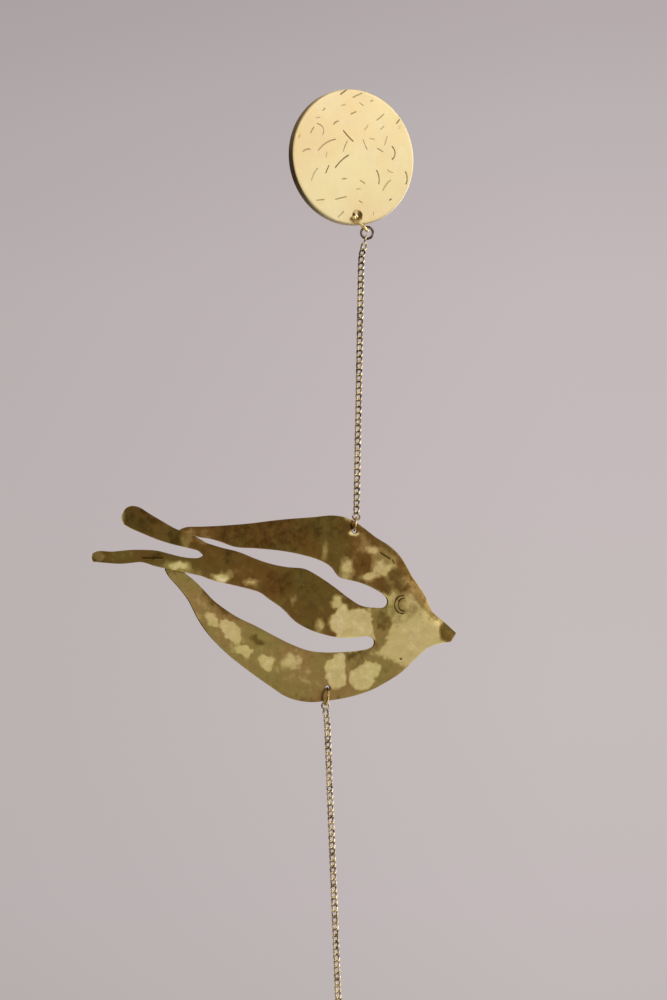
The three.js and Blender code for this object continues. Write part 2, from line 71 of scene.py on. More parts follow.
# %% [markdown]
# Camera
# The photograph looks level at the object, from about 27 degrees to the left of straight ahead. A long
# lens from under a metre away keeps the outline almost free of perspective. The camera aims at a point
# beside the chain, halfway down the picture.

# %% Camera
CAMERA_TURN = math.radians(26.6)
CAMERA_DISTANCE = 926 * MM
CAMERA_TARGET = Vector((-5.86, 0, -114.3)) * MM
LENS = 100

looking = Vector((math.sin(CAMERA_TURN), math.cos(CAMERA_TURN), 0))
camera = bpy.data.objects.new("Camera", bpy.data.cameras.new("Camera"))
bpy.context.scene.collection.objects.link(camera)
camera.location = CAMERA_TARGET - CAMERA_DISTANCE * looking
camera.rotation_euler = looking.to_track_quat("-Z", "Y").to_euler()
camera.data.lens = LENS
camera.data.sensor_width = 36
camera.data.clip_start = 0.01
bpy.context.scene.camera = camera
bpy.context.scene.view_settings.view_transform = "Standard"
print("camera at", [round(v, 3) for v in camera.location])


# %% [markdown]
# Colours and nodes
# Colours are easiest to pick as screen hex values, but shaders work in linear light, so one function
# turns the one into the other. A second function adds a node with its settings and its links.

# %% Colour and node helpers
def linear(hex_colour):
    """A screen colour such as "#c8a050" as the linear red, green, blue and alpha of a socket."""
    parts = [int(hex_colour[i : i + 2], 16) / 255 for i in (1, 3, 5)]
    return [c / 12.92 if c <= 0.04045 else ((c + 0.055) / 1.055) ** 2.4 for c in parts] + [1]


def add(tree, kind, settings=None, links=None):
    """Adds a node. settings holds its properties and socket values, links the sockets that feed it."""
    made = tree.nodes.new(kind)
    for key, value in (settings or {}).items():
        if isinstance(key, str) and hasattr(made, key):
            setattr(made, key, value)
        else:
            made.inputs[key].default_value = value
    for key, source in (links or {}).items():
        tree.links.new(source, made.inputs[key])
    return made


def ramp(tree, source, stops, interpolation="EASE"):
    """Turns a number into the colours of stops, a list of places and hex colours."""
    made = add(tree, "ShaderNodeValToRGB", links={0: source})
    made.color_ramp.interpolation = interpolation
    for _ in stops[2:]:
        made.color_ramp.elements.new(0.5)
    for element, (place, hex_colour) in zip(made.color_ramp.elements, stops):
        element.position = place
        element.color = linear(hex_colour)
    return made.outputs[0]


def start_material(name, **values):
    """A new material, its node tree and its Principled shader, which has values set on its sockets."""
    material = bpy.data.materials.new(name)
    material.use_nodes = True
    tree = material.node_tree
    tree.nodes.clear()
    settings = {key.replace("_", " "): value for key, value in values.items()}
    shader = add(tree, "ShaderNodeBsdfPrincipled", settings)
    add(tree, "ShaderNodeOutputMaterial", links={0: shader.outputs[0]})
    print("material:", name)
    return material, tree, shader


def spread(tree, source, low, high, to_low=0.0, to_high=1.0):
    """Maps a number from one range to another and stops it at the ends."""
    settings = {"From Min": low, "From Max": high, "To Min": to_low, "To Max": to_high}
    return add(tree, "ShaderNodeMapRange", settings, {"Value": source}).outputs[0]


def mixed(tree, share, first, second):
    """One colour turned into another by a share. A colour is a hex value or a socket."""
    made = add(tree, "ShaderNodeMix", {"data_type": "RGBA"}, {0: share})
    for slot, colour in ((6, first), (7, second)):
        if isinstance(colour, str):
            made.inputs[slot].default_value = linear(colour)
        else:
            tree.links.new(colour, made.inputs[slot])
    return made.outputs[2]


def noise_mm(tree, size, detail=2, roughness=0.5):
    """Noise whose blotches are about size millimetres across, on the object's own coordinates."""
    place = add(tree, "ShaderNodeTexCoord").outputs["Object"]
    settings = {"Scale": 1 / (size * MM), "Detail": detail, "Roughness": roughness}
    return add(tree, "ShaderNodeTexNoise", settings, {"Vector": place}).outputs[0]


# %% [markdown]
# Light
# Polished metal shows the room round it, so the room comes first. In front and to the right, where the
# flat faces mirror it, the studio is a wide pale wall that fades downwards and upwards, under a pale
# ceiling. On the far right a window draws a thin bright line along every edge that is turned to it.
# Behind the object is the pinkish grey backdrop, and the far left is unlit, which gives the round edges
# and the wire their dark sides. The camera itself sees the plain backdrop alone. Three large soft lamps
# add to this: a warm one in front at the right, a white one at the left and a cool one above and behind.
# The ornament hangs free, so its pale floor lies well below it, under the edge of the picture.

# %% World
FRONT = (0.45, -0.89, 0)
BEHIND = (0.448, 0.894, 0)
RIGHT = (0.894, -0.448, 0)
WINDOW = (0.99, 0.12, 0)
WINDOW_COLOUR = "#fffaf0"
BEHIND_COLOUR = "#b5abac"

# Between which cosines of the angle to its direction each of them comes in, and how strong it gets
FRONT_SPAN = (-0.25, 0.75)
BEHIND_SPAN = (0.84, 0.95)
WINDOW_SPAN = (0.76, 0.9)
WINDOW_STRENGTH = (1.0, 2.8)
BACKDROP_SPAN = (-0.116, 0.08)
BACKDROP_STRENGTH = (0.94, 1.06)

# Colours by height, where -1 is straight down and 1 straight up
BACKDROP = [
    (-0.176, "#bcb3b3"), (-0.144, "#bfb5b6"), (-0.072, "#c0b7b7"), (0, "#c0b6b7"),
    (0.072, "#beb4b5"), (0.108, "#bab0b2"), (0.137, "#b6adae"), (0.176, "#b0a6a8"),
]
FRONT_WALL = [
    (-1, "#6e6358"), (-0.5, "#8c8072"), (-0.2, "#cfc5b6"), (-0.05, "#f0ebe2"), (0.12, "#ede7de"),
    (0.3, "#c3b9aa"), (0.6, "#7d7466"), (0.74, "#857b6d"), (0.86, "#d4ccc0"), (1, "#ece5da"),
]
DARK_SIDE = [
    (-1, "#4c443b"), (-0.3, "#3a3128"), (-0.08, "#2a231c"), (0.1, "#2e261e"), (0.3, "#5d5446"),
    (0.74, "#776d5f"), (0.86, "#d4ccc0"), (1, "#ece5da"),
]


def by_height(tree, height, stops):
    """A colour for each height of a direction, from -1 straight down to 1 straight up."""
    low, high = stops[0][0], stops[-1][0]
    placed = [((z - low) / (high - low), colour) for z, colour in stops]
    return ramp(tree, spread(tree, height, low, high), placed, "LINEAR")


def make_world():
    """The studio: the room that the metal mirrors, and the plain backdrop that the camera sees."""
    world = bpy.data.worlds.new("Studio")
    bpy.context.scene.world = world
    world.use_nodes = True
    tree = world.node_tree
    tree.nodes.clear()
    direction = add(tree, "ShaderNodeTexCoord").outputs["Generated"]
    height = add(tree, "ShaderNodeSeparateXYZ", links={0: direction}).outputs[2]

    def towards(way, span, values=(0, 1)):
        dot = add(tree, "ShaderNodeVectorMath", {"operation": "DOT_PRODUCT", 1: way}, {0: direction})
        return spread(tree, dot.outputs["Value"], *span, *values)

    dark_side = by_height(tree, height, DARK_SIDE)
    front_wall = by_height(tree, height, FRONT_WALL)
    around = mixed(tree, towards(FRONT, FRONT_SPAN), dark_side, front_wall)
    lit = mixed(tree, towards(WINDOW, WINDOW_SPAN), around, WINDOW_COLOUR)
    room = mixed(tree, towards(BEHIND, BEHIND_SPAN), lit, BEHIND_COLOUR)
    seen = by_height(tree, height, BACKDROP)
    brighter = towards(RIGHT, BACKDROP_SPAN, BACKDROP_STRENGTH)
    backdrop = add(tree, "ShaderNodeBackground", links={"Color": seen, "Strength": brighter})
    strength = towards(WINDOW, WINDOW_SPAN, WINDOW_STRENGTH)
    surroundings = add(tree, "ShaderNodeBackground", links={"Color": room, "Strength": strength})
    by_camera = add(tree, "ShaderNodeLightPath").outputs["Is Camera Ray"]
    both = {0: by_camera, 1: surroundings.outputs[0], 2: backdrop.outputs[0]}
    shown = add(tree, "ShaderNodeMixShader", links=both)
    add(tree, "ShaderNodeOutputWorld", links={0: shown.outputs[0]})
    print("studio made of", len(tree.nodes), "nodes")


make_world()


# %% Lamps
def soft_box(name, direction, distance, size, power, colour="#ffffff"):
    """A rectangular lamp that looks at the camera's target from a direction, in metres and watts."""
    lamp = bpy.data.lights.new(name, "AREA")
    lamp.shape = "RECTANGLE"
    lamp.size, lamp.size_y = size
    lamp.energy = power
    lamp.color = linear(colour)[:3]
    box = bpy.data.objects.new(name, lamp)
    bpy.context.scene.collection.objects.link(box)
    away = Vector(direction).normalized()
    box.location = CAMERA_TARGET + away * distance
    box.rotation_euler = away.to_track_quat("Z", "Y").to_euler()
    box.visible_camera = False
    print(f"{name} lamp: {power} W at {distance} m")


soft_box("Key", (0.55, -0.8, 0.5), distance=1.6, size=(1.1, 0.9), power=4, colour="#fff8ee")
soft_box("Fill", (-0.9, -0.5, 0.4), distance=2.0, size=(1.2, 1.2), power=4)
soft_box("Top", (0.5, 0.6, 0.8), distance=1.8, size=(1.0, 1.0), power=4, colour="#f4f6ff")

# %% Floor
FLOOR_DROP = 80 * MM
FLOOR_RADIUS = 420 * MM

floor_height = cad_low.z - FLOOR_DROP
floor_mesh = bmesh.new()
bmesh.ops.create_circle(floor_mesh, cap_ends=True, segments=96, radius=FLOOR_RADIUS)
bmesh.ops.translate(floor_mesh, verts=floor_mesh.verts[:], vec=(0, 0, floor_height))
floor_data = bpy.data.meshes.new("Floor")
floor_mesh.to_mesh(floor_data)
floor_mesh.free()
floor = bpy.data.objects.new("Floor", floor_data)
bpy.context.scene.collection.objects.link(floor)
plaster, plaster_tree, plaster_shader = start_material("pale_plaster_floor", Roughness=0.7)
floor_clouds = noise_mm(plaster_tree, 60, detail=3)
floor_tone = ramp(plaster_tree, floor_clouds, [(0.3, "#efeae8"), (0.7, "#f3efed")])
plaster_tree.links.new(floor_tone, plaster_shader.inputs["Base Color"])
floor_data.materials.append(plaster)
print("floor at", round(floor_height / MM), "mm")


# %% [markdown]
# Finishing a piece
# Every new piece ends the same way. Its normals are set to point outwards, it becomes an object at the
# origin, it shades smoothly except over sharp edges, and it takes the place of its plain solid.

# %% Helper that finishes a piece
SHARP = math.radians(38)


def finished(bm, name, material, node):
    """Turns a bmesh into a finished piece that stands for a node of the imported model."""
    bmesh.ops.recalc_face_normals(bm, faces=bm.faces[:])
    mesh = bpy.data.meshes.new(name)
    bm.to_mesh(mesh)
    bm.free()
    mesh.shade_smooth()
    mesh.set_sharp_from_angle(angle=SHARP)
    mesh.materials.append(material)
    piece = bpy.data.objects.new(name, mesh)
    bpy.context.scene.collection.objects.link(piece)
    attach(piece, BODY)
    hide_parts(node)
    triangles = sum(len(face.vertices) - 2 for face in mesh.polygons)
    print(f"{name}: {triangles} triangles")
    return piece


def worked(bm, *modifiers):
    """The bmesh after some modifiers, each a type and its settings, have been applied to it."""
    mesh = bpy.data.meshes.new("work")
    bm.to_mesh(mesh)
    bm.free()
    blank = bpy.data.objects.new("work", mesh)
    bpy.context.scene.collection.objects.link(blank)
    for kind, settings in modifiers:
        modifier = blank.modifiers.new(kind, kind)
        for key, value in settings.items():
            setattr(modifier, key, value)
    bpy.context.view_layer.update()
    done = bpy.data.meshes.new_from_object(blank.evaluated_get(bpy.context.evaluated_depsgraph_get()))
    result = bmesh.new()
    result.from_mesh(done)
    bpy.data.objects.remove(blank)
    bpy.data.meshes.remove(mesh)
    bpy.data.meshes.remove(done)
    return result


# %% [markdown]
# Drilled holes
# A drill leaves a straight wall, and a turn of a countersink takes off the burr at both ends. The
# cutter has that whole shape: a rod that flares at both faces of the metal. A boolean takes it away.

# %% Helper that drills
HOLE_SIDES = 40


def drilled(bm, x, z, radius, front, back, chamfer):
    """Takes a round hole along Y out of a bmesh, between a front and a back face. The cutter's flares
    stand out of both faces, so that no face of it lies in one of theirs."""
    flare = 1 * MM
    outline = [
        (0, front - flare),
        (radius + chamfer + flare, front - flare),
        (radius, front + chamfer),
        (radius, back - chamfer),
        (radius + chamfer + flare, back + flare),
        (0, back + flare),
    ]
    rod = bmesh.new()
    corners = [rod.verts.new((x + r, y, z)) for r, y in outline]
    sides = [rod.edges.new(pair) for pair in zip(corners, corners[1:])]
    bmesh.ops.spin(
        rod, geom=corners + sides, cent=(x, 0, z), axis=(0, 1, 0), angle=2 * math.pi,
        steps=HOLE_SIDES, use_merge=True,
    )
    bmesh.ops.remove_doubles(rod, verts=rod.verts[:], dist=0.001 * MM)
    bmesh.ops.recalc_face_normals(rod, faces=rod.faces[:])
    rod_mesh = bpy.data.meshes.new("rod")
    rod.to_mesh(rod_mesh)
    rod.free()
    cutter = bpy.data.objects.new("rod", rod_mesh)
    bpy.context.scene.collection.objects.link(cutter)
    result = worked(bm, ("BOOLEAN", {"operation": "DIFFERENCE", "solver": "EXACT", "object": cutter}))
    bpy.data.objects.remove(cutter)
    bpy.data.meshes.remove(rod_mesh)
    return result


# %% [markdown]
# Struck marks
# The disc and the bird are struck with small steel tools, whose short blades are straight or curved:
# lines all over the disc, and the eye and a few lines on the bird. Each blow leaves a narrow groove that
# darkens with age, and its colour is made darker still as painted shade in the groove. Here a mark is
# an arc of the blade's length. The faces under it are cut finer, then the surface sinks along it.

# %% Helpers that strike marks
STRIKE_REACH = 1.6

# The normal of a face or a point of the front leans about 45 degrees from straight ahead at most
FRONT_FACING = 0.7


def eased(share):
    """A share from 0 to 1 that starts and ends gently, for one number or for an array."""
    share = np.clip(share, 0, 1)
    return share * share * (3 - 2 * share)


def arc_points(x, z, length, heading, turn, steps=9):
    """Points in metres along a struck arc; its middle and length are in mm, the angles in degrees."""
    stride = length / (2 * steps)
    bend = math.radians(turn) / (2 * steps)
    halves = []
    for side in (-1, 1):
        place, angle = np.array([x, z], float), math.radians(heading)
        half = [place]
        for _ in range(steps):
            angle += side * bend / 2
            place = place + side * stride * np.array([math.cos(angle), math.sin(angle)])
            angle += side * bend / 2
            half.append(place)
        halves.append(half)
    return np.array(halves[0][::-1] + halves[1][1:]) * MM


def distance_to(points, line):
    """How far each point lies from a polyline, both in the plane of the sheet."""
    nearest = np.full(len(points), np.inf)
    for a, b in zip(line, line[1:]):
        along = b - a
        share = np.clip(((points - a) @ along) / (along @ along), 0, 1)
        nearest = np.minimum(nearest, np.linalg.norm(points - a - share[:, None] * along, axis=1))
    return nearest


def strike(bm, lines, width, depth, cuts, darkness=1.0):
    """Sinks a groove along each line into the front of a bmesh, and notes its darkness in a point layer."""
    reach = width * STRIKE_REACH
    front = [f for f in bm.faces if f.normal.y < -FRONT_FACING]
    middles = np.array([f.calc_center_median().xz for f in front])
    sizes = np.array([math.sqrt(f.calc_area()) for f in front])
    near = np.zeros(len(front), bool)
    for line in lines:
        near |= distance_to(middles, line) < reach + sizes
    edges = {edge for face, hit in zip(front, near) if hit for edge in face.edges}
    bmesh.ops.subdivide_edges(bm, edges=list(edges), cuts=cuts, use_grid_fill=True)
    bm.normal_update()
    layer = bm.verts.layers.float.get("struck") or bm.verts.layers.float.new("struck")
    verts = [v for v in bm.verts if v.normal.y < -FRONT_FACING]
    places = np.array([v.co.xz for v in verts])
    sunk = np.zeros(len(verts))
    for line in lines:
        sunk = np.maximum(sunk, np.clip(1 - distance_to(places, line) / width, 0, 1))
    for vert, share in zip(verts, eased(sunk)):
        if share > 0:
            vert.co.y += depth * share
            vert[layer] = max(vert[layer], darkness * share)


# %% [markdown]
# Brass finishes
# Brass is a bright yellow metal. A satin surface has been rubbed with fine abrasive, so its gloss is
# broad and even. A hammered and waxed sheet is smoother; its pale and warm brown patches are painted
# reflections, of the light and of the dark room. In a struck groove the metal is dull and dark, with
# oxide and with painted shade.

# %% Satin brass of the disc
def make_satin_brass():
    """Satin brass: rubbed with fine abrasive, pale and evenly bright, dark in its struck marks."""
    material, tree, shader = start_material("satin_brass", Metallic=1.0)
    clouds = noise_mm(tree, 6, detail=3, roughness=0.6)
    warm = ramp(tree, clouds, [(0.3, "#dcc796"), (0.5, "#e0cca0"), (0.7, "#e6d4ac")])
    cool = ramp(tree, clouds, [(0.3, "#dfd1a4"), (0.5, "#e2d6aa"), (0.7, "#e7dcb4")])
    rubbed = mixed(tree, spread(tree, noise_mm(tree, 26, detail=1), 0.38, 0.62), warm, cool)
    struck = add(tree, "ShaderNodeAttribute", {"attribute_name": "struck"}).outputs["Fac"]
    # The struck grooves are painted dark: partly oxide, partly painted shade in the groove
    tree.links.new(mixed(tree, struck, rubbed, "#7a6030"), shader.inputs["Base Color"])
    tree.links.new(spread(tree, clouds, 0.2, 0.8, 0.3, 0.42), shader.inputs["Roughness"])
    # The abrasive's own scratches are too fine to show, so they are drawn as a grain of 0.8 mm
    fine = noise_mm(tree, 0.8, detail=3, roughness=0.6)
    bump = add(tree, "ShaderNodeBump", {"Strength": 0.12, "Distance": 0.05 * MM}, {"Height": fine})
    tree.links.new(bump.outputs[0], shader.inputs["Normal"])
    return material


satin_brass = make_satin_brass()


# %% Hammered brass of the bird
BROWN_TONES = [(0, "#4c3415"), (0.2, "#694d25"), (0.45, "#94794a"), (0.7, "#cab781"), (1, "#eee2ba")]
OLIVE_TONES = [(0, "#483a19"), (0.2, "#66552a"), (0.45, "#90804a"), (0.7, "#c8ba7c"), (1, "#ece2ae")]


def make_hammered_brass():
    """Hammered brass sheet, waxed, with painted reflections: dark brown for the dark room that it mirrors,
    pale and yellow for the light that it mirrors, and darkest in its grooves."""
    material, tree, shader = start_material("hammered_brass", Metallic=1.0)
    # The tone attribute holds painted reflections: pale for mirrored light, dark brown for the mirrored
    # dark room
    tone = add(tree, "ShaderNodeAttribute", {"attribute_name": "tone"}).outputs["Fac"]
    mottle = noise_mm(tree, 2.4, detail=4, roughness=0.6)
    uneven = spread(tree, mottle, 0.2, 0.8, -0.14, 0.14)
    place = add(tree, "ShaderNodeMath", {"operation": "ADD", "use_clamp": True}, {0: tone, 1: uneven})
    brown = ramp(tree, place.outputs[0], BROWN_TONES)
    olive = ramp(tree, place.outputs[0], OLIVE_TONES)
    hue = spread(tree, noise_mm(tree, 13), 0.36, 0.64)
    struck = add(tree, "ShaderNodeAttribute", {"attribute_name": "struck"}).outputs["Fac"]
    # The struck grooves are painted dark: partly oxide, partly painted shade in the groove
    shade = mixed(tree, struck, mixed(tree, hue, brown, olive), "#3a2a10")
    tree.links.new(shade, shader.inputs["Base Color"])
    tree.links.new(spread(tree, mottle, 0.2, 0.8, 0.2, 0.34), shader.inputs["Roughness"])
    # The marks of the hammer's polished face are too fine to show, so they are a grain of 1.2 mm
    fine = noise_mm(tree, 1.2, detail=3, roughness=0.6)
    bump = add(tree, "ShaderNodeBump", {"Strength": 0.15, "Distance": 0.05 * MM}, {"Height": fine})
    tree.links.new(bump.outputs[0], shader.inputs["Normal"])
    return material


hammered_brass = make_hammered_brass()


# %% Drawn brass wire of the rings and the chain
def make_wire_brass(name, dark, light, low_gloss, high_gloss):
    """Drawn brass wire: smooth, handled, with brown tarnish in patches about a link long."""
    material, tree, shader = start_material(name, Metallic=1.0)
    clouds = noise_mm(tree, 1.8, detail=3, roughness=0.6)
    tone = ramp(tree, clouds, [(0.35, dark), (0.62, light)])
    tree.links.new(tone, shader.inputs["Base Color"])
    tree.links.new(spread(tree, clouds, 0.2, 0.8, low_gloss, high_gloss), shader.inputs["Roughness"])
    return material


bright_wire = make_wire_brass("bright_wire_brass", "#c8ac6c", "#f0dca6", 0.2, 0.3)
handled_wire = make_wire_brass("handled_wire_brass", "#6e5429", "#d6bd80", 0.16, 0.26)
# The chain's top ring has the same brass painted dark brown: painted shade, for the dark room its wire
# mirrors
painted_shade_wire = make_wire_brass("painted_shade_wire_brass", "#41322e", "#8d7a6c", 0.14, 0.24)
chain_brass = make_wire_brass("chain_wire_brass", "#7a664a", "#ecdfbe", 0.16, 0.28)


# %% Cut crystal
def make_crystal_glass():
    """Lead crystal: cut and polished, quite clear, with a high refraction that gives it fire."""
    material, tree, shader = start_material(
        "cut_crystal", Roughness=0.0, IOR=1.54, Transmission_Weight=1.0, Metallic=0.0
    )
    clouds = noise_mm(tree, 30, detail=1)
    tone = ramp(tree, clouds, [(0.3, "#f6fafa"), (0.7, "#fbfdfd")])
    tree.links.new(tone, shader.inputs["Base Color"])
    return material


crystal_glass = make_crystal_glass()


# %% [markdown]
# Disc
# The real disc is cut from thick plate and its edge is filed a little round. Turning a profile about
# its axis gives that exactly, so the mesh is a spun outline: front face, wall and back face. Rings of
# faces run across the flats, so that the marks and the faint waves of the rubbing have a surface.

# %% Sizes of the disc
DISC_STEPS = 168
DISC_RINGS = 25
DISC_ROUNDING = 0.35 * MM
DISC_HOLE_RADIUS = 1.85 * MM
DISC_HOLE_CHAMFER = 0.15 * MM
DISC_WAVE = 0.012 * MM
DISC_WAVE_LENGTH = 4 * MM
MARK_WIDTH = 0.26 * MM
MARK_DEPTH = 0.17 * MM

# %% Where the disc is struck
# Each mark is its middle across and up and its blade's length, in mm, then heading and turn in degrees
DEEP_MARKS = [
    (-3.8, 21.4, 2.9, 36, 0),
    (16.6, 12.8, 1.7, 50, 0),
    (-2.2, 6.8, 4.8, -43, 12),
    (15.5, 2.1, 5.0, -90, -110),
    (-4.7, -1.5, 6.6, 42, -22),
    (-9.9, -4.6, 2.7, 65, 0),
    (13.7, -13.6, 0.8, 30, 0),
    (20.1, -6.0, 4.2, -88, -60),
    (9.4, -6.2, 4.6, -80, -45),
]
FINE_MARKS = [
    (1.3, 20.6, 3.8, 26, 0),
    (6.7, 19.1, 1.0, 30, 0),
    (-0.2, 14.6, 2.1, 28, 0),
    (9.9, 13.8, 3.3, 40, 0),
    (-6.9, 11.1, 2.3, 35, -60),
    (-11.2, 15.1, 1.2, 40, 0),
    (-15.5, 8.1, 2.3, 58, 0),
    (-11.6, 9.1, 5.0, -60, -130),
    (-3.3, 3.6, 4.2, 66, -25),
    (4.1, 4.3, 3.4, -64, 10),
    (-10.4, 4.0, 7.8, 32, -40),
    (-17.7, 1.5, 2.8, 20, -60),
    (9.9, 2.8, 2.3, -26, 0),
    (12.0, 6.1, 3.0, 72, 0),
    (-15.0, -6.5, 4.9, 62, -35),
    (-3.6, -7.5, 1.6, 10, 0),
    (3.2, -8.2, 1.9, -28, 0),
    (12.1, -8.7, 4.8, 50, -30),
    (-4.9, -14.0, 4.1, 15, 0),
    (-12.5, -15.0, 2.8, 8, 0),
    (2.5, -14.9, 1.3, -25, 0),
    (-4.9, -19.4, 2.9, 43, 0),
]
FAINT_MARKS = [
    (4.7, 10.0, 2.2, 50, 40),
    (10.6, 10.3, 1.8, 40, 0),
    (6.9, 6.3, 1.6, -5, 0),
    (17.3, 11.0, 1.4, 70, 0),
    (-3.9, 17.0, 1.4, 20, 0),
    (-10.3, 0.0, 1.6, 75, 0),
    (13.6, -4.3, 2.2, -20, 50),
    (1.7, -10.7, 1.4, 15, 0),
    (7.3, -18.7, 1.0, 80, 0),
    (-20.3, 5.7, 1.2, 60, 0),
    (2.8, 17.6, 1.6, -30, 50),
    (-13.4, 12.2, 1.3, 15, 0),
]

# The strengths of the blows: the marks, their width and depth as shares of the widest and the deepest,
# and how dark the grooves are painted, for oxide and for painted shade
STRENGTHS = [(DEEP_MARKS, 1, 1, 0.9), (FINE_MARKS, 0.85, 0.65, 0.4), (FAINT_MARKS, 0.9, 0.5, 0.2)]
MARK_CUTS = 6

# %% Helpers that find a drilled hole
RIM_ROUNDS = 4
RIM_BAND = 0.35


def packed_corners(node):
    """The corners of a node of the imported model, as rows of x, y and z."""
    return np.array([tuple(v.co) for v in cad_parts[node].data.vertices])


def hole_middle(node, x, z, radius):
    """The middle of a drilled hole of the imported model, closed in on from a first guess by its rim."""
    corners = packed_corners(node)[:, [0, 2]]
    middle = np.array([x, z])
    for _ in range(RIM_ROUNDS):
        distance = np.linalg.norm(corners - middle, axis=1)
        rim = corners[np.abs(distance - radius) < RIM_BAND * radius]
        middle = (rim.min(axis=0) + rim.max(axis=0)) / 2
    return middle


# %% Disc
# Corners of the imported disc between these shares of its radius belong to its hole
HOLE_CORNERS = (0.5, 0.955)
FLAT = 0.9


def make_disc():
    """A turned plate with a drilled hole, its struck marks, and a faint wave on both faces."""
    low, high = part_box("disc")
    radius, middle = (high.x - low.x) / 2, (low + high) / 2
    reaches = [radius * i / DISC_RINGS for i in range(DISC_RINGS + 1)]
    bm = bmesh.new()
    outline = [bm.verts.new((r, low.y, 0)) for r in reaches]
    outline += [bm.verts.new((r, high.y, 0)) for r in reversed(reaches)]
    sides = [bm.edges.new(pair) for pair in zip(outline, outline[1:])]
    bmesh.ops.spin(
        bm, geom=outline + sides, cent=(0, 0, 0), axis=(0, 1, 0), angle=2 * math.pi,
        steps=DISC_STEPS, use_merge=True,
    )
    bmesh.ops.remove_doubles(bm, verts=bm.verts[:], dist=0.001 * MM)
    bmesh.ops.recalc_face_normals(bm, faces=bm.faces[:])
    rims = [e for e in bm.edges if e.calc_face_angle(0) > math.radians(60)]
    bmesh.ops.bevel(
        bm, geom=rims, offset=DISC_ROUNDING, affect="EDGES", segments=3, profile=0.5, material=-1
    )
    bmesh.ops.translate(bm, verts=bm.verts[:], vec=(middle.x, 0, middle.z))
    corners = packed_corners("disc")[:, [0, 2]]
    reach = np.linalg.norm(corners, axis=1) / radius
    inner = corners[(reach > HOLE_CORNERS[0]) & (reach < HOLE_CORNERS[1])]
    x, z = hole_middle("disc", *(inner.min(axis=0) + inner.max(axis=0)) / 2, DISC_HOLE_RADIUS)
    print("disc hole at", round(x / MM, 2), round(z / MM, 2))
    bm = drilled(bm, x, z, DISC_HOLE_RADIUS, low.y, high.y, DISC_HOLE_CHAMFER)
    bm.normal_update()
    for marks, width, depth, darkness in STRENGTHS:
        lines = [arc_points(*mark) for mark in marks]
        strike(bm, lines, width * MARK_WIDTH, depth * MARK_DEPTH, MARK_CUTS, darkness)
    for vert in bm.verts:
        if abs(vert.normal.y) > FLAT:
            wave = DISC_WAVE * (1 + noise.noise(vert.co / DISC_WAVE_LENGTH))
            vert.co.y -= math.copysign(wave, vert.normal.y)
    finished(bm, "disc_satin", satin_brass, "disc")


make_disc()


# %% [markdown]
# Jump rings
# A jump ring is a turn of round wire, closed by pushing its two cut ends together. A wire's round end
# face, spun almost the whole way about the ring's axis, gives the ring with its fine split. The place
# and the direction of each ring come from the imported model: its middle, and the way it is thinnest.

# %% Jump rings
# The wire of each ring, in mm
RING_WIRES = {
    "disc_ring": 1.16, "chain_top_ring": 0.87,
    "bird_top_ring": 0.8, "bird_bottom_ring": 0.8, "crystal_ring": 0.8,
}
WIRE_SIDES = 14
RING_STEPS = 64
SPLIT = 0.1 * MM

# The bent stretch of the first ring: how far it is pushed, its height, its reach up and down, and from
# where to where in depth the push grows
RING_BULGE = 1.4 * MM
BULGE_HEIGHT = -20.5 * MM
BULGE_REACH = 1.4 * MM
BULGE_FRONT = (-3.3 * MM, -4.3 * MM)


def ring_place(node):
    """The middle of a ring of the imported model, and the direction it faces."""
    corners = np.unique(np.round(packed_corners(node), 7), axis=0)
    middle = corners.mean(axis=0)
    _, _, axes = np.linalg.svd(corners - middle)
    return Vector(middle), Vector(axes[2])


def bulged(bm):
    """Pushes the stretch in front of the disc a little to the left, as opening and closing has bent it."""
    start, end = BULGE_FRONT
    for vert in bm.verts:
        near = math.exp(-(((vert.co.z - BULGE_HEIGHT) / BULGE_REACH) ** 2))
        vert.co.x -= RING_BULGE * near * eased((vert.co.y - start) / (end - start))


def make_ring(node, mean, split_at, material, bent=False):
    """A split ring of round wire; mean is the diameter of its wire's middle line, in mm, and split_at
    where its cut lies, in degrees from its side."""
    middle, facing = ring_place(node)
    bm = bmesh.new()
    bmesh.ops.create_circle(bm, cap_ends=True, segments=WIRE_SIDES, radius=RING_WIRES[node] * MM / 2)
    upright = Matrix.Rotation(math.pi / 2, 3, "X")
    bmesh.ops.rotate(bm, verts=bm.verts[:], cent=(0, 0, 0), matrix=upright)
    bmesh.ops.translate(bm, verts=bm.verts[:], vec=(mean * MM / 2, 0, 0))
    turn = 2 * math.pi - SPLIT / (mean * MM / 2)
    end = bm.verts[:] + bm.edges[:] + bm.faces[:]
    bmesh.ops.spin(bm, geom=end, cent=(0, 0, 0), axis=(0, 0, 1), angle=turn, steps=RING_STEPS)
    split_turn = Matrix.Rotation(math.radians(split_at), 3, "Z")
    bmesh.ops.rotate(bm, verts=bm.verts[:], cent=(0, 0, 0), matrix=split_turn)
    facing_turn = Vector((0, 0, 1)).rotation_difference(facing).to_matrix()
    bmesh.ops.rotate(bm, verts=bm.verts[:], cent=(0, 0, 0), matrix=facing_turn)
    bmesh.ops.translate(bm, verts=bm.verts[:], vec=middle)
    if bent:
        bulged(bm)
    finished(bm, node + "_wire", material, node)


make_ring("disc_ring", mean=7.4, split_at=200, material=bright_wire, bent=True)
# The chain's top ring is painted dark, as painted shade
make_ring("chain_top_ring", mean=3.9, split_at=30, material=painted_shade_wire)
make_ring("bird_top_ring", mean=4.3, split_at=60, material=handled_wire)
make_ring("bird_bottom_ring", mean=5.5, split_at=60, material=handled_wire)
make_ring("crystal_ring", mean=7.2, split_at=20, material=bright_wire)


# %% [markdown]
# Curb chains
# A curb chain is made of oval links that are all twisted the same way, so that they lie flat in each
# other. One link is a short round wire swept round an oval whose sides swing in front of and behind
# its plane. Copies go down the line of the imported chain, a pitch apart, each inside the last. At both
# ends a plain link, wide enough for a ring, goes round the ring's wire.

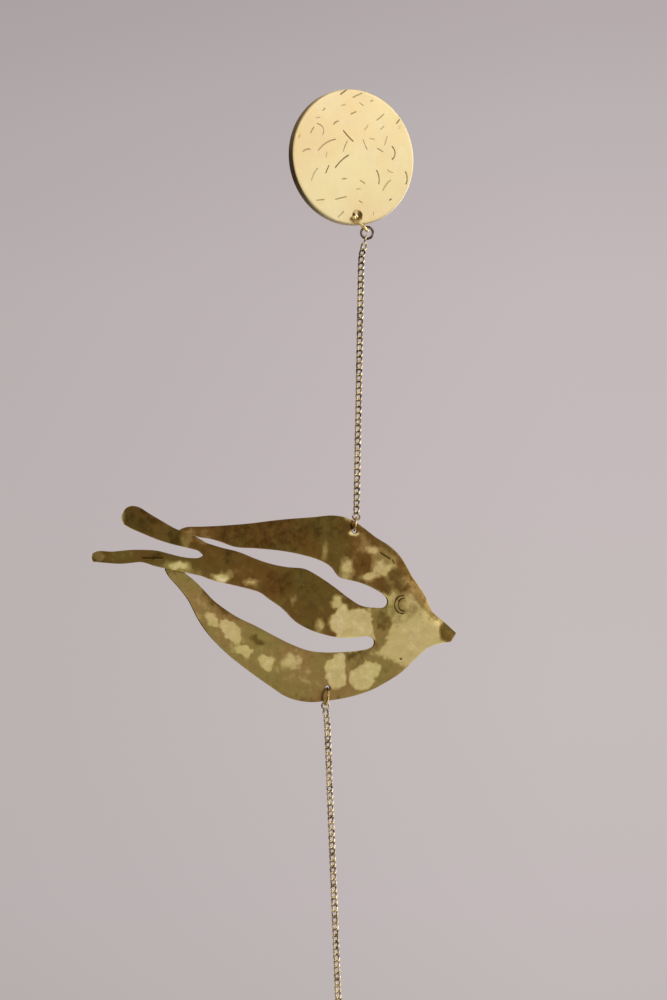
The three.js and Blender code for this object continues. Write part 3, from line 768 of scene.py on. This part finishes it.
# %% Links of the chains
# The solids have wire of 0.6 mm and links 2.2 mm wide. Both are drawn a little fuller here, so that the
# chain looks as dense as the real one.
LINK_WIRE = 0.68 * MM
LINK_WIDTH = 2.25 * MM
LINK_PITCH = 2.09 * MM
LINK_TWIST = 0.56 * MM
LINK_STEPS = 16
LINK_SIDES = 7


def link_points(half_width, half_length, twist):
    """The middle line of a link's wire, round its oval."""
    points = []
    for i in range(LINK_STEPS):
        angle = 2 * math.pi * i / LINK_STEPS
        across, along = math.sin(angle), math.cos(angle)
        points.append(Vector((half_width * across, twist * math.sin(2 * angle), half_length * along)))
    return points


def add_link(bm, points, place):
    """Sweeps round wire along a closed loop of points and puts the link in its place."""
    count = len(points)
    rounds = []
    for i, point in enumerate(points):
        along = (points[(i + 1) % count] - points[i - 1]).normalized()
        outwards = (point - along * point.dot(along)).normalized()
        turn = Matrix((outwards, along.cross(outwards), along)).transposed().to_4x4()
        spot = place @ Matrix.Translation(point) @ turn
        made = bmesh.ops.create_circle(bm, segments=LINK_SIDES, radius=LINK_WIRE / 2, matrix=spot)
        rounds.append(list({e for v in made["verts"] for e in v.link_edges}))
    for i in range(count):
        bmesh.ops.bridge_loops(bm, edges=rounds[i] + rounds[(i + 1) % count])


# %% Curb chains
# Room on each side of a ring's wire inside an end link
HANG_GAP = 0.2 * MM


def line_of(node):
    """A function that gives the middle of a packed chain at a height."""
    corners = packed_corners(node)

    def middle(height):
        near = corners[np.abs(corners[:, 2] - height) < LINK_PITCH]
        return Vector(((near[:, 0].min() + near[:, 0].max()) / 2, near[:, 1].mean(), height))

    return middle


def make_chain(node, top_ring, bottom_ring, first_side=None, last_side=None):
    """Curb links down the line of a packed chain, and a plain link round the ring at each end. The sides
    say which way the end links lie across; without one, a link lies as the curb links do."""
    low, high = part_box(node)
    line = line_of(node)
    top_wire, bottom_wire = RING_WIRES[top_ring] * MM, RING_WIRES[bottom_ring] * MM
    ends = [wire / 2 + 2 * HANG_GAP + LINK_WIRE for wire in (top_wire, bottom_wire)]
    start, stop = line(high.z - ends[0]), line(low.z + ends[1])
    whole = (start - stop).length + ends[0] + ends[1]
    room = whole - 2 * sum(ends)
    count = round(room / LINK_PITCH)
    pitch = room / count
    curb = link_points((LINK_WIDTH - LINK_WIRE) / 2, (pitch + LINK_WIRE) / 2, LINK_TWIST)
    across = Vector((math.cos(CAMERA_TURN), -math.sin(CAMERA_TURN), 0))
    bm = bmesh.new()

    def hang(points, height, side):
        step = LINK_PITCH / 2
        rise = (line(height + step) - line(height - step)).normalized()
        sideways = (side - rise * side.dot(rise)).normalized()
        turn = Matrix((sideways, rise.cross(sideways), rise)).transposed().to_4x4()
        add_link(bm, points, Matrix.Translation(line(height)) @ turn)

    slope = (start - stop).normalized().z
    heights = [high.z - (2 * ends[0] + pitch * (i + 0.5)) * slope for i in range(count)]
    for wire, end, height, side in (
        (top_wire, ends[0], high.z - ends[0], first_side),
        (bottom_wire, ends[1], low.z + ends[1], last_side),
    ):
        half_width = wire / 2 + 2 * HANG_GAP + LINK_WIRE / 2
        hang(link_points(half_width, end - LINK_WIRE / 2, 0), height, side or across)
    for height in heights:
        hang(curb, height, across)
    print(node, "has", count, "curb links,", round(pitch / MM, 3), "mm apart")
    finished(bm, node + "_links", chain_brass, node)


to_camera = Vector((-math.sin(CAMERA_TURN), -math.cos(CAMERA_TURN), 0))
make_chain("upper_chain", "chain_top_ring", "bird_top_ring", first_side=to_camera)
make_chain("lower_chain", "bird_bottom_ring", "crystal_ring", last_side=Vector((1, 0, 0)))


# %% [markdown]
# Bird
# The bird is sawn out of one sheet, and two long cuts free its wings from its body. Every edge is one
# smooth line, so the sheet is made as six patches of a grid, each spread between its own edges: two
# wings, the body, the head and two tail feathers. The patches share their border points, so merging
# them gives one sheet. All shares are of the bird's length, measured from its upper hole.

# %% Edges of the bird
BIRD_LENGTH = 131 * MM
SHEET = 1 * MM
EDGES = {
    "upper_wing_top": [
        (-0.492, -0.005), (-0.481, 0.004), (-0.465, 0.011), (-0.427, 0.012), (-0.373, 0.014),
        (-0.298, 0.019), (-0.203, 0.029), (-0.116, 0.035), (-0.059, 0.039), (-0.016, 0.031),
        (0.021, 0.01), (0.059, -0.016), (0.102, -0.04), (0.134, -0.067), (0.169, -0.117),
    ],
    "upper_wing_low": [
        (-0.487, -0.018), (-0.461, -0.004), (-0.435, -0.013), (-0.4, -0.018), (-0.367, -0.027),
        (-0.331, -0.039), (-0.274, -0.043), (-0.203, -0.05), (-0.144, -0.061), (-0.096, -0.075),
        (-0.065, -0.092), (-0.042, -0.118), (-0.016, -0.125), (0.021, -0.134), (0.064, -0.152),
        (0.088, -0.167), (0.094, -0.175), (0.096, -0.183),
    ],
    "body_top": [
        (-0.416, -0.028), (-0.375, -0.04), (-0.331, -0.05), (-0.274, -0.071), (-0.229, -0.084),
        (-0.187, -0.091), (-0.144, -0.095), (-0.108, -0.112), (-0.059, -0.142), (-0.016, -0.172),
        (0.018, -0.191), (0.059, -0.197), (0.083, -0.197),
        (0.092, -0.192), (0.096, -0.183),
    ],
    "body_low": [
        (-0.427, -0.11), (-0.4, -0.12), (-0.345, -0.133), (-0.298, -0.144), (-0.265, -0.154),
        (-0.237, -0.173), (-0.203, -0.195), (-0.167, -0.228), (-0.13, -0.248), (-0.088, -0.262),
        (-0.045, -0.271), (-0.002, -0.272), (0.035, -0.269), (0.048, -0.272),
        (0.056, -0.278), (0.058, -0.286),
    ],
    "lower_wing_top": [
        (-0.491, -0.075), (-0.472, -0.099), (-0.445, -0.119), (-0.418, -0.144), (-0.391, -0.171),
        (-0.356, -0.196), (-0.324, -0.215), (-0.276, -0.237), (-0.229, -0.261), (-0.181, -0.284),
        (-0.13, -0.302), (-0.079, -0.308), (-0.031, -0.308), (0.018, -0.305), (0.042, -0.301),
        (0.055, -0.294), (0.058, -0.286),
    ],
    "lower_wing_low": [
        (-0.521, -0.07), (-0.52, -0.092), (-0.509, -0.111), (-0.485, -0.136), (-0.457, -0.17),
        (-0.431, -0.218), (-0.404, -0.255), (-0.356, -0.302), (-0.296, -0.348), (-0.236, -0.389),
        (-0.187, -0.419), (-0.13, -0.432), (-0.074, -0.43), (-0.011, -0.422), (0.047, -0.407),
        (0.093, -0.387),
    ],
    "head_top": [(0.169, -0.117), (0.208, -0.169), (0.228, -0.209), (0.262, -0.236), (0.299, -0.267)],
    "head_low": [
        (0.093, -0.387), (0.134, -0.364), (0.172, -0.333), (0.208, -0.305), (0.24, -0.294),
        (0.279, -0.289),
    ],
    "upper_feather_top": [
        (-0.621, 0.055), (-0.613, 0.063), (-0.592, 0.062), (-0.563, 0.045), (-0.527, 0.024),
        (-0.494, 0.006), (-0.461, -0.004), (-0.416, -0.028),
    ],
    "upper_feather_low": [
        (-0.623, 0.018), (-0.606, 0.007), (-0.58, -0.004), (-0.546, -0.018), (-0.501, -0.032),
        (-0.457, -0.042), (-0.433, -0.049), (-0.422, -0.059),
    ],
    "upper_feather_end": [(-0.621, 0.055), (-0.628, 0.036), (-0.623, 0.018)],
    "lower_feather_top": [
        (-0.704, -0.052), (-0.693, -0.046), (-0.663, -0.048), (-0.617, -0.044), (-0.579, -0.044),
        (-0.548, -0.046), (-0.515, -0.054), (-0.476, -0.063), (-0.433, -0.065), (-0.422, -0.059),
    ],
    "lower_feather_low": [
        (-0.703, -0.073), (-0.68, -0.075), (-0.642, -0.078), (-0.612, -0.076), (-0.586, -0.074),
        (-0.553, -0.084), (-0.515, -0.092), (-0.471, -0.101), (-0.427, -0.11),
    ],
    "lower_feather_end": [(-0.704, -0.052), (-0.706, -0.063), (-0.703, -0.073)],
}
LOW_HOLE = (-0.077, -0.398)

# %% Bends of the bird
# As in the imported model, in mm, apart from the creases: their places are shares of the bird's length,
# and their slope is a rise for each mm
WING_TUCK = 1.05
BODY_FORWARD = 0.75
BROW_BACK = 1.1
BROW_WIDTH = 5
CREASES = {"upper_feather": -0.478, "lower_feather": -0.56}
CREASE_SLOPE = 0.1
TIP_CURL = 2.2
TIP_CURL_LENGTH = 6

# The share of its length over which each patch bends: a wing from its tip, where the brow's roll then
# begins, the body from its rump, and a feather from its end
WING_BEND = 0.6
BODY_BEND = 0.7
FEATHER_BEND = 0.9


def sheet_depth(kind, s, u, from_top):
    """How far the sheet stands behind its hanging plane, in mm."""
    rolled = BROW_BACK * max(0, 1 - from_top / BROW_WIDTH) ** 2
    if kind == "upper_wing":
        return WING_TUCK * eased(1 - s / WING_BEND) + rolled * eased((s - WING_BEND) / (1 - WING_BEND))
    if kind == "lower_wing":
        return WING_TUCK * eased(1 - s / WING_BEND)
    if kind == "body":
        return -BODY_FORWARD * eased(1 - s / BODY_BEND)
    if kind == "head":
        return rolled
    bent = max(0, CREASES[kind] - u) * BIRD_LENGTH / MM * CREASE_SLOPE
    from_end = (u - EDGES[kind + "_end"][1][0]) * BIRD_LENGTH / MM
    curl = TIP_CURL * max(0, 1 - from_end / TIP_CURL_LENGTH) ** 2
    return bent + curl - BODY_FORWARD * eased(s / FEATHER_BEND)


# %% Smooth edges and the patches between them
CURVE_SAMPLES = 24


def smooth_line(points, count, crowd=1.0):
    """count + 1 points along a smooth curve through points, closer to its end the larger crowd is. The
    curve is a centripetal Catmull-Rom spline, which makes no loops between uneven points."""
    p = np.array(points, float)
    p = np.vstack([2 * p[0] - p[1], p, 2 * p[-1] - p[-2]])
    dense = []
    for a, b, c, d in zip(p, p[1:], p[2:], p[3:]):
        gaps = [math.sqrt(np.linalg.norm(q - r)) for q, r in ((b, a), (c, b), (d, c))]
        ka, kb, kc, kd = 0, gaps[0], gaps[0] + gaps[1], sum(gaps)
        t = np.linspace(kb, kc, CURVE_SAMPLES, endpoint=False)[:, None]
        ab = ((kb - t) * a + (t - ka) * b) / (kb - ka)
        bc = ((kc - t) * b + (t - kb) * c) / (kc - kb)
        cd = ((kd - t) * c + (t - kc) * d) / (kd - kc)
        abc = ((kc - t) * ab + (t - ka) * bc) / (kc - ka)
        bcd = ((kd - t) * bc + (t - kb) * cd) / (kd - kb)
        dense.append(((kc - t) * abc + (t - kb) * bcd) / (kc - kb))
    dense = np.vstack([*dense, p[-2:-1]])
    run = np.concatenate([[0], np.cumsum(np.linalg.norm(np.diff(dense, axis=0), axis=1))])
    wanted = run[-1] * (1 - (1 - np.linspace(0, 1, count + 1)) ** crowd)
    return np.stack([np.interp(wanted, run, dense[:, k]) for k in (0, 1)], axis=1)


def straight(a, b, count):
    return np.linspace(np.array(a, float), np.array(b, float), count + 1)


def add_patch(bm, hole, kind, steps, crowd, left, right):
    """One patch of the sheet: a grid whose points are spread between four edges."""
    top = smooth_line(EDGES[kind + "_top"], steps, crowd)
    low = smooth_line(EDGES[kind + "_low"], steps, crowd)
    rows = len(left) - 1
    made = bmesh.ops.create_grid(bm, x_segments=steps, y_segments=rows, size=0.5)
    for vert in made["verts"]:
        s, t = vert.co.x + 0.5, 0.5 - vert.co.y
        i, j = round(s * steps), round(t * rows)
        u, v = (
            (1 - t) * top[i] + t * low[i] + (1 - s) * left[j] + s * right[j]
            - (1 - s) * ((1 - t) * top[0] + t * low[0]) - s * ((1 - t) * top[-1] + t * low[-1])
        )
        from_top = math.hypot(u - top[i][0], v - top[i][1]) * BIRD_LENGTH / MM
        depth = sheet_depth(kind, s, u, from_top) * MM
        vert.co = (hole.x + u * BIRD_LENGTH, hole.y + depth, hole.z + v * BIRD_LENGTH)


# %% Sheet of the bird
WING_STEPS, WING_ROWS = 84, 14
BODY_STEPS, HALF_BODY = 66, 8
HEAD_STEPS, FEATHER_STEPS = 26, 28


def bird_sheet(hole):
    """The whole bird as one sheet without thickness."""
    slit_up, slit_low = EDGES["upper_wing_low"][-1], EDGES["body_low"][-1]
    fork = EDGES["upper_feather_low"][-1]
    shoulder = straight(EDGES["upper_wing_top"][-1], slit_up, WING_ROWS)
    neck = straight(slit_up, slit_low, 2 * HALF_BODY)
    chest = straight(slit_low, EDGES["lower_wing_low"][-1], WING_ROWS)
    rump_up = straight(EDGES["body_top"][0], fork, HALF_BODY)
    rump_low = straight(fork, EDGES["body_low"][0], HALF_BODY)
    nape = np.vstack([shoulder, neck[1:], chest[1:]])
    beak = straight(EDGES["head_top"][-1], EDGES["head_low"][-1], len(nape) - 1)
    wings = ("upper_wing", "lower_wing")
    tips = [straight(EDGES[wing + "_top"][0], EDGES[wing + "_low"][0], WING_ROWS) for wing in wings]
    bm = bmesh.new()
    rump = np.vstack([rump_up, rump_low[1:]])
    add_patch(bm, hole, "upper_wing", WING_STEPS, crowd=1.4, left=tips[0], right=shoulder)
    add_patch(bm, hole, "body", BODY_STEPS, crowd=1.4, left=rump, right=neck)
    add_patch(bm, hole, "lower_wing", WING_STEPS, crowd=1.4, left=tips[1], right=chest)
    add_patch(bm, hole, "head", HEAD_STEPS, crowd=1.0, left=nape, right=beak)
    for kind, root in (("upper_feather", rump_up), ("lower_feather", rump_low)):
        end = smooth_line(EDGES[kind + "_end"], HALF_BODY)
        add_patch(bm, hole, kind, FEATHER_STEPS, crowd=1.1, left=end, right=root)
    bmesh.ops.remove_doubles(bm, verts=bm.verts[:], dist=0.02 * MM)
    print("bird's sheet:", len(bm.faces), "faces")
    return bm


# %% [markdown]
# Hammering
# A planishing hammer leaves shallow round flats that meet in soft ridges, and each flat mirrors
# another part of the room. The blows fall close together, in no order. Where they overlap, the deepest
# one shows. The back has its own, fainter marks from the block under the sheet.

# %% Painted reflections of the sheet
# The ground tone is the dark brown of the painted reflections, under every patch
GROUND_TONE = 0.2
EDGE_FADE = 1.5

# How far a patch's edge wanders and over what length, slowly and quickly, in mm
SLOW_WANDER, SLOW_LENGTH = 1.5, 5.0
QUICK_WANDER, QUICK_LENGTH = 0.8, 1.6

# Painted reflections, as tones from 0, dark brown for the dark room that the sheet mirrors, to 1, pale
# for the light that it mirrors, laid one over the other on the ground tone. Each is the middle of a patch
# in mm from the upper hole, its half width and half height, its turn in degrees, its tone, and how far
# its edge fades, in mm, before EDGE_FADE widens that.
PAINTED_REFLECTIONS = [
    # the lower wing and the tip of it, and the head, as wide fields
    (-30, 1, 34, 6.5, 3, 0.1, 4), (-62, -19, 7, 7, 0, 0.42, 3), (-55.5, -26, 6, 4, -40, 0.5, 3),
    (-28, -42, 30, 11, -22, 0.42, 3), (-20, -47, 9, 5, -22, 0.5, 4), (20, -33, 17, 17, 0, 0.6, 2),
    (21.5, -39, 12, 8.5, 12, 0.72, 3), (27.5, -33.6, 6.5, 5, -20, 0.72, 3),
    (13.5, -8, 14, 11, -38, 0.4, 3), (4, -50, 16, 8, 0, 0.42, 2),
    # pale patches of the lower wing, painted reflections on a paler ground
    (-43, -35.5, 13, 4.2, -38, 0.48, 2.5), (-28, -42.8, 10, 3.6, -8, 0.48, 2.5),
    (-51.8, -28.7, 2.6, 1.7, -45, 0.66, 0.7), (-45.3, -32.4, 4.6, 2.6, -48, 0.74, 0.6),
    (-40.6, -38.6, 3.2, 2.4, -40, 0.72, 0.6), (-32.3, -43.2, 2.5, 2.2, -20, 0.74, 0.6),
    (-23.8, -43.2, 2.8, 2.2, 10, 0.7, 1.6), (-35.8, -35.6, 2.6, 1.4, -30, 0.24, 0.8),
    (-6.8, -46.3, 4.4, 5.6, 0, 0.78, 0.7), (3.6, -48.4, 6.2, 4.0, 24, 0.76, 0.7),
    (-2.5, -40.2, 2.8, 0.8, 0, 0.7, 0.7), (-3, -46.2, 0.7, 4.2, 4, 0.36, 1.2),
    (9.6, -49.4, 2.6, 1.6, 20, 0.4, 1), (4.2, -41.2, 6.4, 1.7, 38, 0.36, 1.2),
    # belly and the pale notes of the body
    (-1.2, -30.8, 7.8, 6.0, 0, 0.78, 0.8), (-6.4, -23.4, 2.4, 2.6, 0, 0.7, 1.2),
    (-1.4, -23.4, 3.2, 3.2, 0, 0.24, 1), (9.6, -30, 3.2, 8, 0, 0.42, 0.5),
    (10.6, -30.8, 3.2, 3.4, 0, 0.28, 1.4), (-13.2, -31.4, 2, 1.7, 0, 0.6, 1.4),
    (-49.4, -14.6, 2.7, 1.3, 0, 0.92, 1.4), (-38.6, -17.4, 2.4, 1.0, 0, 0.62, 1.4),
    (-64.4, -11, 3.4, 1.5, 0, 0.84, 1.4), (-22.9, -23.4, 0.5, 1.8, -12, 0.46, 0.8),
    # upper wing, shoulder and face
    (-3.3, -13.2, 2.8, 3.5, 20, 0.62, 1.6), (-2.4, -10.8, 1.8, 1.2, 0, 0.66, 1.2),
    (-11.2, -6.4, 1.2, 2.4, -14, 0.54, 1.6), (9, -13.8, 5, 2.8, 34, 0.7, 2),
    (5.4, -15.2, 3.6, 2, 8, 0.7, 1.6), (6.4, -6.8, 2.2, 1.7, -30, 0.68, 1.4),
    (2.8, -11.2, 3.4, 4.3, 0, 0.2, 1.6), (2.8, -11.2, 1.0, 1.4, 0, 0.06, 1),
    (9.8, -17.8, 4.6, 3, -24, 0.22, 1.2), (15.8, -14.4, 2.7, 3, 0, 0.24, 1.4),
    (18.2, -19.6, 3.0, 2.5, 0, 0.24, 1.6), (20.7, -17, 1.4, 1.8, 0, 0.55, 1.6),
    (14.8, -10.8, 1.2, 1.2, 0, 0.52, 1), (16.6, -25.2, 3.4, 3.6, 0, 0.52, 1.6),
    (10, -3.7, 7, 2.3, -34, 0.2, 1.6), (19.5, -12.5, 8, 2.2, -55, 0.2, 1.6),
    (26.8, -24, 6, 2.2, -57, 0.38, 1.6), (31, -29, 3, 2.6, -40, 0.5, 1.4),
    (36, -34.6, 3.4, 3.2, 0, 0.2, 1.2), (6.6, -15.4, 2.8, 1.7, 14, 0.7, 1.4),
    (-0.9, -1.1, 1.6, 1.3, 0, 0.95, 0.9), (-3, 5, 2.4, 1.2, -20, 0.66, 1.2),
    # notes of darker brown on the dark ground
    (-76, 3.6, 5, 4, -30, 0.08, 3), (-72.9, -8, 4.2, 1.5, 0, 0.08, 1.2),
    (-27.5, -16.7, 5, 4, 0, 0.1, 4), (-46.7, -8.5, 1.8, 2, 0, 0.1, 1),
    (-18.9, -17.3, 6, 4, -30, 0.14, 4), (-30, -3, 16, 3.6, 4, 0.1, 3),
    (-91, -7.6, 1.6, 1.4, 0, 0.5, 0.8), (-82, -8, 6, 1.5, 0, 0.24, 1.5), (-56, -1.5, 5, 2.4, 0, 0.3, 2),
    # painted shade and painted light either side of the upper feather's crease, and its curled end
    (-65.4, -1.6, 1.9, 3.6, 0, 0.06, 0.6), (-61.2, -2.4, 2.1, 3.4, 0, 0.36, 0.6),
    (-82, 4.6, 0.8, 2.6, 0, 0.5, 0.5),
]


def ragged(place):
    """A place moved a little, by slow and by quick noise, so that a patch's edge wanders."""
    spot = Vector((place[0], place[1], 0))
    slow = noise.noise_vector(spot / SLOW_LENGTH)
    quick = noise.noise_vector(spot / QUICK_LENGTH + Vector((0, 0, 7)))
    across = place[0] + SLOW_WANDER * slow.x + QUICK_WANDER * quick.x
    up = place[1] + SLOW_WANDER * slow.y + QUICK_WANDER * quick.y
    return across, up


def painted_reflection_tones(places):
    """The painted reflection tone at each place, in mm from the upper hole."""
    moved = np.array([ragged(place) for place in places])
    tone = np.full(len(places), GROUND_TONE)
    for x, z, half_width, half_height, turn, level, fade in PAINTED_REFLECTIONS:
        c, s = math.cos(math.radians(turn)), math.sin(math.radians(turn))
        across, up = moved[:, 0] - x, moved[:, 1] - z
        reach = np.hypot((across * c + up * s) / half_width, (up * c - across * s) / half_height)
        inside = (1 - reach) * min(half_width, half_height)
        tone += (level - tone) * eased(inside / (EDGE_FADE * fade) + 0.5)
    return tone


# %% Hammer blows
# Spacing, radii and depths of the blows, in mm, and how deep those of the back are beside the front's
BLOW_SPACING = 4.2
BLOW_RADIUS = (3.0, 5.0)
BLOW_DEPTH = (0.05, 0.13)
BACK_SHARE = 0.5
BLOW_TRIES = 9000
FRONT_SEED, BACK_SEED = 11, 12

# The sheet's edge is rubbed to this tone: a little where its normal leans to the side, fully where it
# leans further. Both numbers are the normal's share along the sheet's depth.
RUBBED_EDGE = 0.8
RUBBED_FROM, RUBBED_FULL = 0.8, 0.4


def scattered(seed, low, high):
    """Blows strewn over a box, none closer to another than the spacing, as x, z, radius and depth."""
    rng = random.Random(seed)
    kept = []
    for _ in range(BLOW_TRIES):
        spot = (rng.uniform(low[0], high[0]), rng.uniform(low[1], high[1]))
        if all(math.dist(spot, other) > BLOW_SPACING for other in kept):
            kept.append(spot)
    return [(x, z, rng.uniform(*BLOW_RADIUS), rng.uniform(*BLOW_DEPTH)) for x, z in kept]


def hammered(places, blows):
    """How deep the blows sink the surface at each place, in mm."""
    sunk = np.zeros(len(places))
    for x, z, radius, depth in blows:
        near = np.linalg.norm(places - (x, z), axis=1) / radius
        sunk = np.maximum(sunk, depth * np.clip(1 - near**2, 0, None))
    return sunk


def hammer(bm, hole):
    """Sinks the blows into both faces of the sheet and notes its painted reflection tones in a point layer.
    """
    layer = bm.verts.layers.float.new("tone")
    bm.normal_update()
    places = np.array([v.co.xz for v in bm.verts]) / MM
    facing = np.array([v.normal.y for v in bm.verts])
    low, high = places.min(axis=0), places.max(axis=0)
    front_blows, back_blows = scattered(FRONT_SEED, low, high), scattered(BACK_SEED, low, high)
    print("hammer blows:", len(front_blows), "in front and", len(back_blows), "behind")
    front, back = hammered(places, front_blows), hammered(places, back_blows)
    # The tone layer holds painted reflections: pale for mirrored light, dark brown for the mirrored dark
    # room
    tone = painted_reflection_tones(places - np.array([hole.x, hole.z]) / MM)
    rubbed = np.clip((RUBBED_FROM - np.abs(facing)) / (RUBBED_FROM - RUBBED_FULL), 0, 1)
    tone += (RUBBED_EDGE - tone) * rubbed
    for i, vert in enumerate(bm.verts):
        vert[layer] = tone[i]
        if facing[i] < 0:
            vert.co.y += front[i] * facing[i] ** 2 * MM
        else:
            vert.co.y -= BACK_SHARE * back[i] * facing[i] ** 2 * MM


# %% Upper hole and thickness of the bird
HOLE_RADIUS = 0.9 * MM
HOLE_CHAMFER = 0.1 * MM
HOLE_FROM_RING = (-0.4 * MM, 0.2 * MM)
RIM_LOOPS = 2
RIM_CREASE = 0.85
RIM_TURN = math.radians(60)
CORNER_TURN = math.radians(40)


def upper_hole():
    """The middle of the bird's upper hole, first guessed from the lowest point of the ring in it."""
    ring_low, ring_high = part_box("bird_top_ring")
    guess = ((ring_low.x + ring_high.x) / 2 + HOLE_FROM_RING[0], ring_low.z + HOLE_FROM_RING[1])
    x, z = hole_middle("bird", *guess, HOLE_RADIUS)
    ring_middle, _ = ring_place("bird_top_ring")
    return x, ring_middle.y, z


def thickened(bm):
    """The sheet at its thickness, its rim softly rounded and crisper at the outward corners."""
    bmesh.ops.recalc_face_normals(bm, faces=bm.faces[:])
    if sum(f.normal.y for f in bm.faces) > 0:
        bmesh.ops.reverse_faces(bm, faces=bm.faces[:])
    bmesh.ops.translate(bm, verts=bm.verts[:], vec=(0, -SHEET / 2, 0))
    bmesh.ops.solidify(bm, geom=bm.faces[:], thickness=SHEET)
    bm.normal_update()
    crease = bm.edges.layers.float.new("crease_edge")
    rim = [e for e in bm.edges if abs((e.verts[0].co - e.verts[1].co).y) > 0.7 * SHEET]
    for edge in rim:
        if edge.calc_face_angle_signed(0) > CORNER_TURN:
            edge[crease] = RIM_CREASE
    bmesh.ops.subdivide_edges(bm, edges=rim, cuts=RIM_LOOPS)
    for edge in bm.edges:
        if edge.calc_face_angle(0) > RIM_TURN:
            edge[crease] = RIM_CREASE
    return worked(bm, ("SUBSURF", {"levels": 1, "render_levels": 1}))


# %% Bird
BIRD_MARK_WIDTH = 0.36 * MM
BIRD_MARK_DEPTH = 0.2 * MM
BIRD_MARK_CUTS = 3

# Struck marks of the bird, in mm from the upper hole: middle, blade length, heading and turn
BIRD_MARKS = [
    (14.9, -25.0, 10.5, 90, -200),
    (16.3, -25.0, 7.0, 90, -185),
    (17.3, -43.4, 1.0, 0, 180),
    (11.4, -8.5, 4.2, -30, 0),
    (14.5, -10.6, 1.2, -60, 0),
    (-73.2, -8.4, 6.7, -1, 0),
]


def make_bird():
    """A rounded and hammered sheet with two drilled holes, and its struck marks."""
    low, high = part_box("bird")
    print("bird:", round((high.x - low.x) / MM, 1), "mm across")
    x, y, z = upper_hole()
    hole = Vector((x, y, z))
    print("upper hole at", [round(v / MM, 2) for v in hole])
    bm = thickened(bird_sheet(hole))
    hammer(bm, hole)
    low_hole = (hole.x + LOW_HOLE[0] * BIRD_LENGTH, hole.z + LOW_HOLE[1] * BIRD_LENGTH)
    for at_x, at_z in ((x, z), low_hole):
        bm = drilled(bm, at_x, at_z, HOLE_RADIUS, hole.y - SHEET / 2, hole.y + SHEET / 2, HOLE_CHAMFER)
    bm.normal_update()
    marks = [arc_points(hole.x / MM + mx, hole.z / MM + mz, *rest) for mx, mz, *rest in BIRD_MARKS]
    strike(bm, marks, BIRD_MARK_WIDTH, BIRD_MARK_DEPTH, BIRD_MARK_CUTS)
    finished(bm, "bird_hammered", hammered_brass, "bird")


make_bird()


# %% [markdown]
# Crystal
# Cut crystal has flat facets that meet in crisp edges, and polishing takes off only a hair of each
# edge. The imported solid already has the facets, so its mesh is merged, its flat triangles are joined
# into facets, and every edge is bevelled very slightly. That thin line of light is what reads as cut.

# %% Crystal
FACET_EDGE = 0.12 * MM
FACET_TURN = math.radians(8)


def make_crystal():
    """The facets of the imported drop, with a hair of bevel along every edge."""
    bm = bmesh.new()
    bm.from_mesh(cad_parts["crystal"].data)
    bmesh.ops.remove_doubles(bm, verts=bm.verts[:], dist=0.001 * MM)
    bmesh.ops.dissolve_limit(bm, angle_limit=math.radians(1), verts=bm.verts[:], edges=bm.edges[:])
    edges = [e for e in bm.edges if e.calc_face_angle(0) > FACET_TURN]
    bmesh.ops.bevel(
        bm, geom=edges, offset=FACET_EDGE, affect="EDGES", segments=1, profile=0.5, material=-1,
        clamp_overlap=True,
    )
    return finished(bm, "crystal_cut", crystal_glass, "crystal")


# Every facet stays flat to the eye, so all edges but the flattest are sharp
crystal = make_crystal()
crystal.data.set_sharp_from_angle(angle=math.radians(3))
